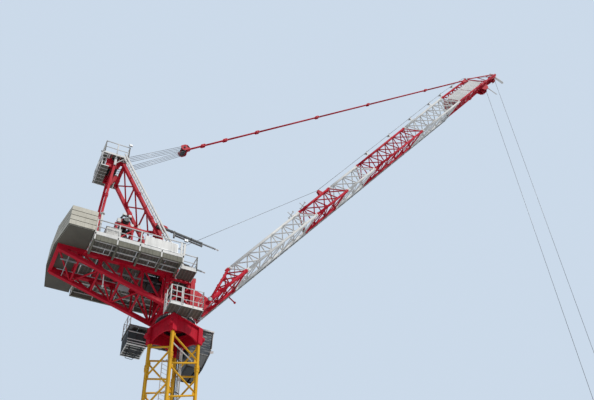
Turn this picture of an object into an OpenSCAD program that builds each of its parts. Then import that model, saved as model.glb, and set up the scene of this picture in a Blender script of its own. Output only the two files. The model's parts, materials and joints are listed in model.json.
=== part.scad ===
// Tower crane with a luffing jib, scale model 1:2. Millimetres.
// X runs along the jib, Y away from the viewer, Z up. The origin lies under the mast on the ground.

/* [Mast] */
// distance between the leg centres on one side
mast_w = 1000; // [800:10:1200]
// side of a square mast leg
leg_w = 84; // [76:2:90]
// height of the mast's top above the ground
mast_top = 13950; // [13800:10:14000]
// height of one bracing bay
bay_h = 1050; // [1000:2:1056]
// turn of the mast about its axis
mast_turn = 23; // [0:1:45]
// thickness of the braces
brace_d = 62; // [50:1:80]
// thickness of the ladder stiles and rungs
rung_d = 22; // [16:1:30]

/* [Mast top and slewing ring] */
// height of the mast-top frame above the mast
cap_h = 530; // [500:5:545]
// outer radius of the slewing ring
ring_r = 600; // [560:5:640]
// height of each half of the slewing ring
ring_h = 78; // [60:1:78]

/* [Turret] */
// half width of the turret and the counter-jib between chord centres
side_y = 562; // [540:2:600]
// side of the turret's box members
box_w = 130; // [110:2:140]
// height of the jib pivot
pivot_z = 15425; // [15400:5:15450]
// distance of the jib pivot in front of the mast axis
pivot_x = 812; // [800:2:840]
// radius of the jib pivot pins
pin_r = 45; // [35:1:50]

/* [Counter-jib and deck] */
// height of the deck's underside
deck_z = 16050; // [16030:5:16070]
// half width of the deck
deck_y = 1437; // [1400:1:1480]
// thickness of the deck gratings
deck_t = 32; // [20:1:40]
// height of one counterweight slab
slab_h = 182; // [160:1:190]
// half width of the counterweight
cw_y = 1550; // [1450:5:1600]
// diameter of guard rail tubes
rail_d = 24; // [18:1:32]
// height of the guard rails
rail_h = 540; // [480:5:600]

/* [A-frame] */
// height of the sheave axis at the head
head_z = 20330; // [20300:5:20350]
// distance of the sheave axis behind the mast axis
head_x = 2750; // [2700:5:2800]
// radius of the luffing sheaves
sheave_r = 210; // [160:5:230]
// side of a front leg
fleg_w = 104; // [90:2:120]

/* [Jib] */
// luffing angle as stored
luff = 52.3; // [50:0.05:55]
// half distance between the bottom chords
chord_y = 538; // [500:2:560]
// height of the top chord above the bottom chords
jib_h = 850; // [800:5:880]
// rise of the top chord over the jib's length
jib_rise = 0.016; // [0:0.001:0.018]
// diameter of the bottom chords
chord_d = 92; // [80:1:105]
// diameter of the top chord
top_d = 100; // [85:1:110]
// diameter of the jib's bracing
web_d = 44; // [34:1:56]
// place of the pendant pin along the jib
pend_s = 24600; // [24560:5:24640]

/* [Ropes and hook] */
// height of the top of the hook block
hook_z = 15560; // [15400:10:15700]
// diameter of the hoist ropes
rope_d = 16; // [12:1:20]

/* [Output] */
// node to show

/* [Hidden] */
$fn = 24;
gap = 0.3;
big = 40000;
half_m = mast_w / 2;
inner_m = half_m - leg_w / 2;
base_beam = 150;
base_z = base_beam + 30;
cap_z = mast_top + cap_h;
cap_plate = 40;
ring_z = cap_z + cap_plate;
ring2_z = ring_z + ring_h + gap;
turret_z = ring2_z + ring_h + gap;
sole_h = 60;
box_z = turret_z + sole_h;
chord_z = deck_z - box_w / 2;
chord_top = chord_z - box_w / 2;
rear_x = -3900;
front_x = 330;
low_z = 14875;
low_x = -556;
floor_top = deck_z + deck_t + gap;
cw_front = -3060;
cw_rear = -3988;
cw_z = deck_z + gap;
red = [0.78, 0.05, 0.09];
yellow = [0.93, 0.66, 0.08];
white = [0.9, 0.9, 0.88];
grey = [0.35, 0.36, 0.37];
dark = [0.12, 0.12, 0.13];
cream = [0.78, 0.76, 0.68];
S_J = [2030, 6560, 8940, 11340, 16290, 21060];
S_TIP = 27200;

// straight bar between two points
module bar(a, b, d, n = 6) {
    v = b - a;
    l = norm(v);
    translate(a)
        rotate([0, acos(v[2] / l), atan2(v[1], v[0])])
            cylinder(h = l, d = d, $fn = n);
}

// block between two corner points
module blk(a, b) {
    translate([min(a[0], b[0]), min(a[1], b[1]), min(a[2], b[2])])
        cube([abs(a[0] - b[0]), abs(a[1] - b[1]), abs(a[2] - b[2])]);
}

// square bar between two points, its sides upright
module box_bar(a, b, w) {
    v = b - a;
    l = norm(v);
    translate(a)
        rotate([0, acos(v[2] / l), atan2(v[1], v[0])])
            translate([-w / 2, -w / 2, 0])
                cube([w, w, l]);
}

module turned() {
    rotate([0, 0, mast_turn]) children();
}

module base_frame() {
    color(yellow) turned() {
        difference() {
            union() {
                for (q = [45, 135])
                    rotate([0, 0, q])
                        translate([-half_m * sqrt(2), -base_beam / 2, 0])
                            cube([mast_w * sqrt(2), base_beam, base_beam]);
                for (i = [-1, 1], j = [-1, 1])
                    translate([i * half_m - 130, j * half_m - 130, 0])
                        cube([260, 260, base_z - gap]);
            }
            for (i = [-1, 1], j = [-1, 1])
                translate([i * (half_m + 95), j * (half_m + 95), -1])
                    cylinder(h = base_z + 2, r = 17);
        }
    }
}

// one flat side: the leg at its left end and a zigzag to the next leg
module mast_side(q) {
    first = mast_top - 60;
    n = floor((first - base_z - 40) / bay_h);
    color(yellow) turned() rotate([0, 0, q]) {
        intersection() {
            union() {
                translate([-half_m - leg_w / 2, -half_m - leg_w / 2, base_z])
                    cube([leg_w, leg_w, mast_top - base_z - gap]);
                for (k = [0 : n - 1]) {
                    z = first - k * bay_h;
                    bar([-half_m, -half_m, z - 30], [half_m, -half_m, z - bay_h / 2 + 30], brace_d);
                    bar([half_m, -half_m, z - bay_h / 2 - 30], [-half_m, -half_m, z - bay_h + 30], brace_d);
                }
            }
            translate([-half_m - leg_w, -half_m - leg_w, 0])
                cube([half_m + leg_w + inner_m - gap, 2 * leg_w, big]);
        }
    }
}

LAD_Y = half_m - 170;
module mast_ladder() {
    color(white) turned() {
        for (i = [-1, 1])
            translate([i * 110 - rung_d / 2, LAD_Y - rung_d / 2, base_z + 60])
                cube([rung_d, rung_d, mast_top - base_z - 330]);
        for (k = [0 : 46])
            translate([-110, LAD_Y, base_z + 200 + k * 285])
                rotate([0, 90, 0]) cylinder(h = 220, d = rung_d * 0.8, $fn = 6);
        for (k = [0 : 11], i = [-1, 1]) {
            z = mast_top - 90 - k * bay_h - (bay_h / 2 - 60) * (half_m - i * 110) / mast_w;
            bar([i * 110, LAD_Y, z], [i * 110, half_m - brace_d * 0.433 - gap, z], rung_d * 1.3, 4);
        }
    }
}

module arch_plate(q) {
    rotate([0, 0, q])
        translate([0, -half_m + 20, 0])
            rotate([90, 0, 0])
                difference() {
                    translate([-half_m, mast_top, 0])
                        linear_extrude(height = 40) square([mast_w, cap_h]);
                    translate([0, mast_top - 650, -10]) cylinder(h = 60, r = 820, $fn = 48);
                }
}

module mast_cap() {
    color(red) {
        turned() {
            difference() {
                union() {
                    for (i = [-1, 1], j = [-1, 1])
                        translate([i * half_m - 80, j * half_m - 80, mast_top])
                            cube([160, 160, cap_h]);
                    for (q = [0, 90, 180, 270]) arch_plate(q);
                    translate([-half_m - 80, -half_m - 80, cap_z])
                        cube([mast_w + 160, mast_w + 160, cap_plate]);
                    for (i = [-1, 1], j = [-1, 1])
                        translate([i * (half_m + 60), j * half_m, mast_top + 240])
                            rotate([0, i * 90, 0]) cylinder(h = 110, r = 85);
                }
                translate([0, 0, cap_z - 10]) cylinder(h = cap_plate + 20, r = ring_r - 190);
            }
        }
    }
}

module ring_part(z, r, inr) {
    translate([0, 0, z])
        difference() {
            cylinder(h = ring_h, r = r, $fn = 72);
            translate([0, 0, -1]) cylinder(h = ring_h + 2, r = inr, $fn = 72);
        }
}

module slew_ring_lower() {
    color(dark) ring_part(ring_z + gap, ring_r - 20, ring_r - 150);
}

module slew_ring_upper() {
    color(dark) ring_part(ring2_z + gap, ring_r, ring_r - 150);
}

module turret() {
    color(red) {
        difference() {
            union() {
                translate([0, 0, turret_z + gap])
                    cylinder(h = sole_h, r = ring_r + 10, $fn = 72);
                for (s = [-1, 1]) {
                    y = s * side_y;
                    blk([low_x - 60, y - s * 130, box_z - 2], [520, y, box_z + 150]);
                    box_bar([low_x, y, box_z + 40], [low_x, y, chord_top - gap], box_w * 0.8);
                    box_bar([250, y, box_z + 40], [250, y, chord_top - gap], box_w);
                    bar([low_x, y, box_z + 120], [250, y, chord_top - 120], 80);
                    bar([low_x, y, chord_top - 120], [250, y, box_z + 220], 80);
                    bar([low_x, y, chord_top - 60], [250, y, chord_top - 60], 90);
                    // bracket that carries the jib foot
                    translate([0, y - s * 20, 0]) rotate([90, 0, 0])
                        translate([0, 0, s > 0 ? 0 : -40])
                            linear_extrude(height = 40)
                                polygon([[220, box_z + 60], [500, box_z + 20], [pivot_x + 40, pivot_z - 110],
                                         [pivot_x + 110, pivot_z], [pivot_x + 60, pivot_z + 100],
                                         [pivot_x - 60, pivot_z + 100], [240, pivot_z + 330]]);
                }
                for (x = [low_x, 250])
                    for (z = [box_z + 75, chord_top - 90])
                        box_bar([x, -side_y, z], [x, side_y, z], 100);
                bar([low_x, -side_y, box_z + 160], [low_x, side_y, chord_top - 160], 70);
                bar([250, -side_y, chord_top - 160], [250, side_y, box_z + 160], 70);
            }
            for (s = [-1, 1])
                translate([pivot_x, s * side_y - 100, pivot_z])
                    rotate([-90, 0, 0]) cylinder(h = 200, r = pin_r + gap);
        }
    }
}

// row of guard rail posts and rails between two points on a floor
module rail(a, b, n, h = rail_h, d = rail_d, mid = 2) {
    for (i = [0 : n]) {
        p = a + (b - a) * i / n;
        translate([p[0] - d / 2, p[1] - d / 2, p[2]]) cube([d, d, h]);
    }
    for (k = [1 : mid])
        bar(a + [0, 0, h * k / mid - d / 2], b + [0, 0, h * k / mid - d / 2], d, 4);
}

TP_X0 = -560;
TP_X1 = 460;
TP_Y0 = -1120;
TP_Z = 14545;
module turret_platform() {
    z = TP_Z + 20;
    color(white) {
        blk([TP_X0, TP_Y0, TP_Z], [TP_X1, -640, TP_Z + 30]);
        blk([TP_X0, TP_Y0, TP_Z], [TP_X1, TP_Y0 + 16, TP_Z + 80]);
        // hangers up to the turret's posts
        for (h = [[low_x, side_y + box_w * 0.4 + gap], [250, side_y + box_w / 2 + gap]]) {
            blk([h[0] - 20, -700, TP_Z], [h[0] + 20, -650, 14880]);
            blk([h[0] - 20, -700, 14820], [h[0] + 20, -h[1], 14880]);
        }
        rail([TP_X0 + 12, TP_Y0 + 12, z], [TP_X1 - 12, TP_Y0 + 12, z], 2, 660, rail_d, 3);
        for (x = [TP_X0 + 12, TP_X1 - 12])
            rail([x, TP_Y0 + 12, z], [x, -side_y - 90, z], 1, 660, rail_d, 3);
    }
}

CB_Y0 = 700;
CB_Y1 = 1560;
CB_Z = 14760;
module cab_walkway() {
    color(grey) {
        blk([-1230, side_y + box_w / 2 + gap, CB_Z], [640, CB_Y1 - 60, CB_Z + 40]);
        // arms that meet the turret's side beam, above its round sole
        for (x = [-590, -50, 440])
            blk([x, side_y + gap, max(CB_Z - 60, box_z + gap)], [x + 70, 640, CB_Z + 10]);
        for (x = [-1180, -590, -50, 440])
            blk([x, 630, CB_Z - 60], [x + 70, CB_Y1 - 60, CB_Z + 10]);
    }
    color(white)
        rail([-1210, CB_Y1 - 80, CB_Z + 30], [600, CB_Y1 - 80, CB_Z + 30], 4);
}

module cabin_shape(off) {
    rotate([90, 0, 0])
        linear_extrude(height = CB_Y1 - CB_Y0 - 2 * off)
            polygon([[660 + off, 13820 + off], [1130 - off, 13820 + off], [1380 - off, 14500], [1450 - off, 15230 - off],
                     [660 + off, 15230 - off]]);
}

module cabin() {
    color(white)
        difference() {
            translate([0, CB_Y1, 0]) cabin_shape(0);
            translate([0, CB_Y1 - 45, 0]) cabin_shape(45);
            // front, side and floor openings
            blk([960, CB_Y0 + 60, 13930], [1700, CB_Y1 - 60, 15130]);
            blk([760, CB_Y0 - 10, 14350], [1270, CB_Y1 + 10, 15110]);
        }
    color(white) blk([640 + gap, CB_Y0 + 100, CB_Z - 60], [661, CB_Y1 - 100, CB_Z + 100]);
}

module cabin_glass() {
    color(dark) {
        difference() {
            intersection() {
                translate([0, CB_Y1 - 12, 0]) cabin_shape(12);
                union() {
                    blk([960 + gap, CB_Y0 + 60 + gap, 13930 + gap], [1700, CB_Y1 - 60 - gap, 15130 - gap]);
                    blk([760 + gap, CB_Y0, 14350 + gap], [1270 - gap, CB_Y1, 15110 - gap]);
                }
            }
            translate([0, CB_Y1 - 24, 0]) cabin_shape(24);
        }
    }
}

module electric_cabinet() {
    color(grey) {
        blk([-1220, 760, 14190], [-620, 1460, CB_Z - 60 - gap]);
        for (i = [0 : 3])
            blk([-1200, 748, 14240 + i * 115], [-640, 770, 14290 + i * 115]);
    }
}

module cj_side(s) {
    y = s * side_y;
    n = 5;
    rx = rear_x + 60;
    ex = low_x - 120;
    slope = (chord_z - 60 - low_z) / (rx - low_x);
    color(red) {
        blk([rear_x, y - box_w / 2, chord_top], [front_x, y + box_w / 2, deck_z - gap]);
        intersection() {
            union() {
                box_bar([rx, y, chord_z - 60], [low_x, y, low_z], 110);
                for (k = [1 : n]) {
                    x = rx + (ex - rx) * k / n;
                    zl = low_z + (x - low_x) * slope;
                    bar([x, y, zl], [x, y, chord_z], 62);
                    bar([x, y, zl], [rx + (ex - rx) * (k - 1) / n, y, chord_z], 62);
                }
            }
            blk([rear_x, y - 200, 14000], [low_x - 60 - gap, y + 200, chord_z + 10]);
        }
    }
}

module counter_jib_near() {
    cj_side(-1);
}

module counter_jib_far() {
    cj_side(1);
}

module counter_jib_bracing() {
    n = 5;
    rx = rear_x + 60;
    slope = (chord_z - 60 - low_z) / (rx - low_x);
    e = side_y - 55 - gap;
    t = side_y - box_w / 2 - gap;
    color(red) {
        for (k = [0 : n - 1]) {
            x0 = rx + (low_x - 120 - rx) * k / n;
            x1 = rx + (low_x - 120 - rx) * (k + 1) / n;
            z0 = low_z + (x0 - low_x) * slope;
            z1 = low_z + (x1 - low_x) * slope;
            intersection() {
                union() {
                    bar([x1, -side_y, z1], [x1, side_y, z1], 66);
                    bar([x0, (k % 2 == 0 ? -1 : 1) * side_y, z0], [x1, (k % 2 == 0 ? 1 : -1) * side_y, z1], 54);
                }
                union() {
                    blk([rear_x, -e, 14000], [0, e, chord_top - gap]);
                    blk([rear_x, -t, 14000], [0, t, 17000]);
                }
            }
            blk([x1 - 40, -t, chord_z - 20], [x1 + 40, t, deck_z - gap]);
        }
        blk([rear_x, -t, chord_top], [rear_x + 100, t, deck_z - gap]);
        blk([front_x - 100, -t, chord_top + 20], [front_x, t, deck_z - gap]);
    }
}

module deck_floor() {
    color(grey) {
        difference() {
            union() {
                blk([-3040, -deck_y, deck_z], [-350, deck_y, deck_z + deck_t]);
                blk([-351, -side_y - 60, deck_z], [front_x, side_y + 60, deck_z + deck_t]);
                // lower landings in front, on arms from the chords
                for (s = [-1, 1]) {
                    blk([-345, s * 1190, 15850], [160, s * (side_y + 90), 15880]);
                    for (x = [-345, 110])
                        blk([x, s * 700, 15850], [x + 50, s * (side_y + box_w / 2 + gap), 15960]);
                    blk([-360, s * 1185, 15850], [-345, s * (side_y + 90), deck_z + 2]);
                }
                // side bearers under both walkways
                for (s = [-1, 1]) {
                    for (x = [-3030, -2330, -1650, -990, -420])
                        blk([x, s * (side_y + box_w / 2 + gap), deck_z - 130], [x + 60, s * (deck_y - 2), deck_z + 5]);
                    blk([-3040, s * deck_y, deck_z - 200], [-350, s * (deck_y - 24), deck_z + 5]);
                }
            }
            // well for the ropes in front of the winch
            blk([-1150, -230, deck_z - 10], [-500, 230, deck_z + deck_t + 10]);
        }
    }
}

module deck_railing() {
    y = deck_y - 24;
    z2 = 15880 + gap;
    color(white) {
        for (s = [-1, 1]) {
            rail([-3020, s * y, floor_top], [-370, s * y, floor_top], 5);
            rail([-3020, s * y, floor_top], [-3020, s * 620, floor_top], 1);
            rail([-330, s * 1175, z2], [145, s * 1175, z2], 1);
            rail([145, s * 1175, z2], [145, s * 720, z2], 1);
        }
    }
}

module cw_plan(inset, h) {
    r = cw_rear + inset;
    linear_extrude(height = h)
        polygon([[cw_front - inset, -cw_y + inset], [cw_front - inset, cw_y - inset], [r + 175, cw_y - inset],
                 [r, 510 - inset / 2], [r, -510 + inset / 2], [r + 175, -cw_y + inset]]);
}

// one slab: a recessed foot under the full slab
module cw_slab() {
    cw_plan(26, 20);
    translate([0, 0, 20 - 1]) cw_plan(0, slab_h - 19);
}

module counterweight() {
    color(cream)
        for (k = [0 : 3])
            translate([0, 0, cw_z + k * (slab_h + gap)]) cw_slab();
}

W_X = -2050;
module luffing_winch() {
    z = floor_top + 330;
    color(dark) {
        for (s = [-1, 1])
            blk([W_X - 260, s * 380, floor_top], [W_X + 260, s * 420, floor_top + 420]);
        translate([W_X, -420, z]) rotate([-90, 0, 0]) cylinder(h = 840, r = 170);
        for (s = [-1, 1])
            translate([W_X, s * 350 - 20, z]) rotate([-90, 0, 0]) cylinder(h = 40, r = 260);
        translate([W_X, -640, z]) rotate([-90, 0, 0]) cylinder(h = 240, r = 150);
    }
}

module deck_cabinet() {
    color(white) {
        blk([-2700, -1150, floor_top], [-2250, -820, floor_top + 620]);
        blk([-2950, -1350, floor_top], [-2880, -1280, floor_top + 900]);
        blk([-2975, -1375, floor_top + 895], [-2855, -1255, floor_top + 960]);
        blk([-1700, 700, floor_top], [-900, 1180, floor_top + 560]);
    }
}

A_TOP = [-2425, -500, 20175];
A_FOOT = [-130, -500, floor_top];
function on_leg(t, s) = [A_FOOT[0] + (A_TOP[0] - A_FOOT[0]) * t, s * 500, A_FOOT[2] + (A_TOP[2] - A_FOOT[2]) * t];
module aframe_front() {
    color(red) {
        difference() {
            union() {
                for (s = [-1, 1]) {
                    box_bar(on_leg(0, s) - [-20, 0, 60], on_leg(1, s), fleg_w);
                    translate([A_FOOT[0] - 110, s * 500 - 80, floor_top]) cube([220, 160, 30]);
                }
                for (t = [0.36, 0.99])
                    box_bar(on_leg(t, -1), on_leg(t, 1), 92);
                bar(on_leg(0.36, -1), on_leg(0.58, 1), 52);
                bar(on_leg(0.36, 1), on_leg(0.58, -1), 52);
                bar(on_leg(0.58, -1), on_leg(0.79, 1), 52);
                bar(on_leg(0.58, 1), on_leg(0.79, -1), 52);
                bar(on_leg(0.79, -1), on_leg(0.99, 1), 52);
                bar(on_leg(0.79, 1), on_leg(0.99, -1), 52);
                bar(on_leg(0.58, -1), on_leg(0.58, 1), 60);
                bar(on_leg(0.79, -1), on_leg(0.79, 1), 60);
                for (s = [-1, 1])
                    bar(on_leg(0.02, s), on_leg(0.36, -s), 60);
            }
            blk([-3000, -1000, deck_z - 400], [1000, 1000, floor_top]);
        }
    }
}

T_TOP = [-2719, 19919];
T_FOOT = [-2905, 16100];
module aframe_ties() {
    color(red) {
        for (s = [-1, 1]) {
            box_bar([T_FOOT[0], s * 480, floor_top + 20], [T_TOP[0], s * 480, T_TOP[1] + 260], 76);
            translate([T_FOOT[0] - 70, s * 480 - 60, floor_top]) cube([140, 120, 60]);
        }
        box_bar([T_TOP[0], -480, T_TOP[1] - 40], [T_TOP[0], 480, T_TOP[1] - 40], 80);
    }
}

HP_Z = 20400;
axle_r = 45;
// the platform lies above the axle of the rope sheaves
HP_Z0 = max(HP_Z - 30, head_z + axle_r + gap);
module aframe_head() {
    color(red) {
        difference() {
            union() {
                for (s = [-1, 1])
                    translate([0, s * 400 + 20, 0]) rotate([90, 0, 0])
                        linear_extrude(height = 40)
                            polygon([[-2990, 20000], [-2560, 20000], [-2500, 20200], [-2330, 20200], [-2330, 20380],
                                     [-head_x + 160, head_z + 260], [-head_x - 160, head_z + 260], [-2990, 20450]]);
                blk([-2440, -400, 20205], [-2360, 400, 20260]);
                blk([-2985, -400, 20030], [-2920, 400, 20100]);
            }
            translate([-head_x, -500, head_z]) rotate([-90, 0, 0]) cylinder(h = 1000, r = axle_r + gap);
        }
        // spacers against the ties and the front legs
        for (s = [-1, 1]) {
            blk([-2760, s * 410, 20010], [-2685, s * (442 - gap), 20160]);
            blk([-2440, s * 410, 20210], [-2340, s * 430, 20290]);
        }
    }
}

module head_sheaves_set() {
    color(dark) {
        translate([-head_x, -470, head_z]) rotate([-90, 0, 0]) cylinder(h = 940, r = axle_r);
        for (i = [-1.5 : 3])
            translate([-head_x, i * 90 - 22, head_z]) rotate([-90, 0, 0]) cylinder(h = 44, r = sheave_r);
    }
}

module head_platform() {
    z = HP_Z - 2;
    color(white) {
        difference() {
            blk([-3150, -640, HP_Z0], [-2300, 900, HP_Z]);
            blk([-3000, -421 - gap, HP_Z - 40], [-2310, 421 + gap, HP_Z + 10]);
        }
        // brackets down to the rear ties
        for (s = [-1, 1])
            blk([-2760, s * (518 + gap), 20010], [-2680, s * 560, HP_Z - 20]);
        rail([-3130, -625, z], [-2330, -625, z], 2);
        rail([-3130, 880, z], [-2330, 880, z], 2);
        rail([-3130, -625, z], [-3130, 880, z], 2);
        rail([-2330, -625, z], [-2330, -470, z], 1);
        rail([-2330, 470, z], [-2330, 880, z], 1);
    }
}

module aframe_ladder() {
    a = [30, 15860];
    b = [-2490, 20340];
    v = [b[0] - a[0], b[1] - a[1]];
    color(white) intersection() {
        union() {
            for (y = [-840, -690])
                bar([a[0], y, a[1]], [b[0], y, b[1]], 40, 4);
            for (k = [1 : 19])
                bar([a[0] + v[0] * k / 20, -840, a[1] + v[1] * k / 20],
                    [a[0] + v[0] * k / 20, -690, a[1] + v[1] * k / 20], 20, 4);
            for (t = [0.35, 0.6, 0.85])
                bar([a[0] + v[0] * t, -690, a[1] + v[1] * t], [a[0] + v[0] * t, -552 - gap, a[1] + v[1] * t], 24, 4);
        }
        blk([-3000, -900, 15880 + gap], [300, -500, 21000]);
    }
}

B0 = [-1000, 17780];
B1 = [460, 17560];
B2 = [1000, 17480];
module backstops() {
    color(grey)
        for (s = [-1, 1]) {
            y = s * (500 + fleg_w / 2 + 60);
            bar([B0[0], y, B0[1]], [B1[0], y, B1[1]], 84, 12);
            bar([B0[0] + 500, y, B0[1] - 185], [B1[0], y, B1[1] - 110], 60, 12);
            bar([B1[0] - 10, y, B1[1]], [B2[0], y, B2[1]], 36, 12);
            translate([B2[0], y, B2[1]]) sphere(d = 60, $fn = 16);
            blk([B1[0] - 40, y - 30, B1[1] - 130], [B1[0], y + 30, B1[1] + 30]);
            blk([-520, y - 30, 17480], [-470, y + 30, 17760]);
            translate([B0[0] - 30, s * (500 + fleg_w / 2 + gap), B0[1]])
                rotate([s > 0 ? -90 : 90, 0, 0]) cylinder(h = 110, r = 60);
        }
}

module on_jib() {
    translate([pivot_x, 0, pivot_z]) rotate([0, -luff, 0]) children();
}

module jib_section(s0, s1, n) {
    g = gap / 2;
    p = (s1 - s0) / n;
    intersection() {
        union() {
            for (k = [-1, 1]) {
                bar([s0, k * chord_y, 0], [s1, k * chord_y, 0], chord_d, 8);
                for (i = [0 : n - 1]) {
                    m = s0 + (i + 0.5) * p;
                    bar([m - p / 2 + 17, k * chord_y, 5], [m - 9, k * 13, top_h(m)], web_d);
                    bar([m + 9, k * 13, top_h(m)], [m + p / 2 - 17, k * chord_y, 5], web_d);
                }
            }
            bar([s0, 0, top_h(s0)], [s1, 0, top_h(s1)], top_d, 8);
            for (i = [0 : n - 1]) {
                bar([s0 + i * p + 31, -chord_y, -3], [s0 + (i + 1) * p - 31, chord_y, -3], web_d * 0.9);
                if (i > 0) bar([s0 + i * p, -chord_y, 0], [s0 + i * p, chord_y, 0], web_d * 0.9);
            }
            for (s = [s0 + 30, s1 - 30])
                bar([s, -chord_y, 0], [s, chord_y, 0], web_d * 1.2);
        }
        blk([s0 + g, -2000, -2000], [s1 - g, 2000, 2000]);
    }
}

module jib_foot() {
    s1 = S_J[0];
    color(red) on_jib() {
        difference() {
            intersection() {
                union() {
                    for (k = [-1, 1]) {
                        bar([0, k * (chord_y - 130), 0], [520, k * chord_y, 0], 120, 8);
                        bar([520, k * chord_y, 0], [s1, k * chord_y, 0], chord_d * 1.15, 8);
                        translate([0, k * (chord_y - 130) - 50, 0]) rotate([-90, 0, 0]) cylinder(h = 100, r = 105);
                        bar([120, k * (chord_y - 110), 0], [s1, 0, top_h(s1)], 84);
                        bar([760, k * chord_y, 0], [760, k * 265, 331], web_d);
                        bar([760, k * 265, 331], [1400, k * chord_y, 0], web_d);
                        bar([1400, k * chord_y, 0], [1400, k * 150, 555], web_d);
                        bar([1400, k * 150, 555], [s1 - 30, k * chord_y, 0], web_d);
                    }
                    bar([120, -chord_y + 60, 0], [120, chord_y - 60, 0], 90);
                    bar([120, -chord_y + 80, 0], [1060, chord_y, 0], web_d);
                    bar([120, chord_y - 80, 0], [1060, -chord_y, 0], web_d);
                    bar([1060, -chord_y, 0], [s1, chord_y, 0], web_d);
                    bar([1060, chord_y, 0], [s1, -chord_y, 0], web_d);
                    bar([1060, -chord_y, 0], [1060, chord_y, 0], web_d);
                    bar([s1 - 30, -chord_y, 0], [s1 - 30, chord_y, 0], web_d * 1.2);
                    bar([760, -265, 331], [760, 265, 331], web_d);
                    bar([1400, -150, 555], [1400, 150, 555], web_d);
                }
                blk([-200, -2000, -2000], [s1 - gap / 2, 2000, 2000]);
            }
        }
        for (k = [-1, 1])
            translate([0, k > 0 ? chord_y - 100 : -chord_y - 60, 0])
                rotate([-90, 0, 0]) cylinder(h = 160, r = pin_r);
    }
}

module jib_band_1() {
    color(white) jib_section_on(0, 6);
}

module jib_section_on(i, n) {
    on_jib() jib_section(S_J[i], S_J[i + 1], n);
}

module jib_band_2() {
    color(red) jib_section_on(1, 3);
}

module jib_band_3() {
    color(white) jib_section_on(2, 3);
}

module jib_band_4() {
    color(red) jib_section_on(3, 6);
}

module jib_band_5() {
    color(white) jib_section_on(4, 6);
}

HS = [[26870, -40], [25080, -190]];
// from here the bottom chords of the head draw in to the tip
S_TAPER = 24150;
TIP_Y = 230;
function head_y(s) = chord_y - max(s - S_TAPER, 0) * (chord_y - TIP_Y) / (S_TIP - S_TAPER);
// end of the top chord, behind the pendant pin
END_S = pend_s - 400;
module jib_head() {
    s0 = S_J[5];
    p = 620;
    n = 5;
    e = s0 + n * p;
    // ends of the two stays from the pendant pin to the tip
    a = [pend_s + 60, 78, jib_h - 20];
    b = [S_TIP - 260, 240, 90];
    color(red) on_jib() {
        intersection() {
            union() {
                for (k = [-1, 1]) {
                    bar([s0, k * chord_y, 0], [S_TAPER + 50, k * chord_y, 0], chord_d, 8);
                    bar([S_TAPER, k * chord_y, 0], [S_TIP, k * TIP_Y, 0], chord_d, 8);
                    for (i = [0 : n - 1]) {
                        bar([s0 + i * p, k * chord_y, 0], [s0 + (i + 0.5) * p, 0, jib_h], web_d, 12);
                        bar([s0 + (i + 0.5) * p, 0, jib_h], [s0 + (i + 1) * p, k * chord_y, 0], web_d, 12);
                    }
                    bar([e, k * chord_y, 0], [e + p / 2, 0, jib_h - 60], web_d, 12);
                    // plates that hold the pendant pin, and the stays
                    translate([0, k > 0 ? 78 : -46, 0]) rotate([90, 0, 0])
                        linear_extrude(height = 32)
                            polygon([[END_S - 110, jib_h - 50], [pend_s - 230, jib_h - 110], [pend_s + 130, jib_h - 110],
                                     [pend_s + 130, jib_h + 40], [pend_s + 40, jib_h + 95], [pend_s - 60, jib_h + 95],
                                     [END_S - 110, jib_h + 50]]);
                    bar([pend_s + 60, k * 76, jib_h - 60], [25100, k * head_y(25100), 0], 58);
                    bar([a[0], k * a[1], a[2]], [b[0], k * b[1], b[2]], 66);
                    for (t = [0.36, 0.7]) {
                        m = a + (b - a) * t;
                        bar([m[0], k * m[1], m[2]], [m[0] - 60, k * head_y(m[0] - 60), 0], web_d);
                    }
                    // cheeks of the rope sheaves
                    translate([0, k > 0 ? 190 : -150, 0]) rotate([90, 0, 0])
                        linear_extrude(height = 40) {
                            polygon([[24640, 40], [24880, -290], [25000, -340], [25200, -340], [25330, -270], [25400, 40]]);
                            polygon([[26100, -60], [S_TIP - 30, -90], [S_TIP - 30, 90], [26100, 60]]);
                        }
                }
                bar([s0, 0, jib_h], [END_S, 0, jib_h], top_d, 8);
                // filler between the plates, low enough for the pendant bars to pass over it
                translate([0, 50, 0]) rotate([90, 0, 0])
                    linear_extrude(height = 100)
                        polygon([[END_S - 110, jib_h - 50], [pend_s - 230, jib_h - 110], [pend_s - 80, jib_h - 110],
                                 [pend_s - 80, jib_h - 24], [END_S, jib_h + 32], [END_S - 110, jib_h + 50]]);
                for (i = [0 : n - 1]) {
                    bar([s0 + i * p, -chord_y, 0], [s0 + (i + 1) * p, chord_y, 0], web_d * 0.9);
                    bar([s0 + i * p + 20, -chord_y, 0], [s0 + i * p + 20, chord_y, 0], web_d * 0.9);
                }
                for (s = [24200, 24700, 25370, 26150])
                    bar([s, -head_y(s), 0], [s, head_y(s), 0], 64);
                bar([24200, -head_y(24200), 0], [24700, head_y(24700), 0], web_d);
                bar([25370, -head_y(25370), 0], [26150, head_y(26150), 0], web_d);
                box_bar([S_TIP - 45, -270, 0], [S_TIP - 45, 270, 0], 90);
            }
            blk([s0 + gap / 2, -2000, -2000], [S_TIP + 200, 2000, 2000]);
        }
    }
}

SH_R = 220;
module head_sheaves() {
    color(grey) on_jib()
        for (p = HS) {
            translate([p[0], -150 + gap, p[1]]) rotate([-90, 0, 0]) cylinder(h = 300 - 2 * gap, r = 60);
            translate([p[0], -60, p[1]]) rotate([-90, 0, 0]) cylinder(h = 120, r = SH_R);
        }
}

// boards on the two sloping sides near the head
module wind_panels() {
    a = atan2(jib_h, -chord_y);
    w = norm([jib_h, chord_y]);
    color(white) on_jib()
        for (k = [0, 1])
            mirror([0, k, 0])
                for (s = [S_J[5] + 40, S_J[5] + 1810])
                    translate([s, chord_y, 0]) rotate([a, 0, 0])
                        translate([0, 60, -web_d / 2 - gap - 14]) cube([1680, w - 190, 14]);
}

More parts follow.
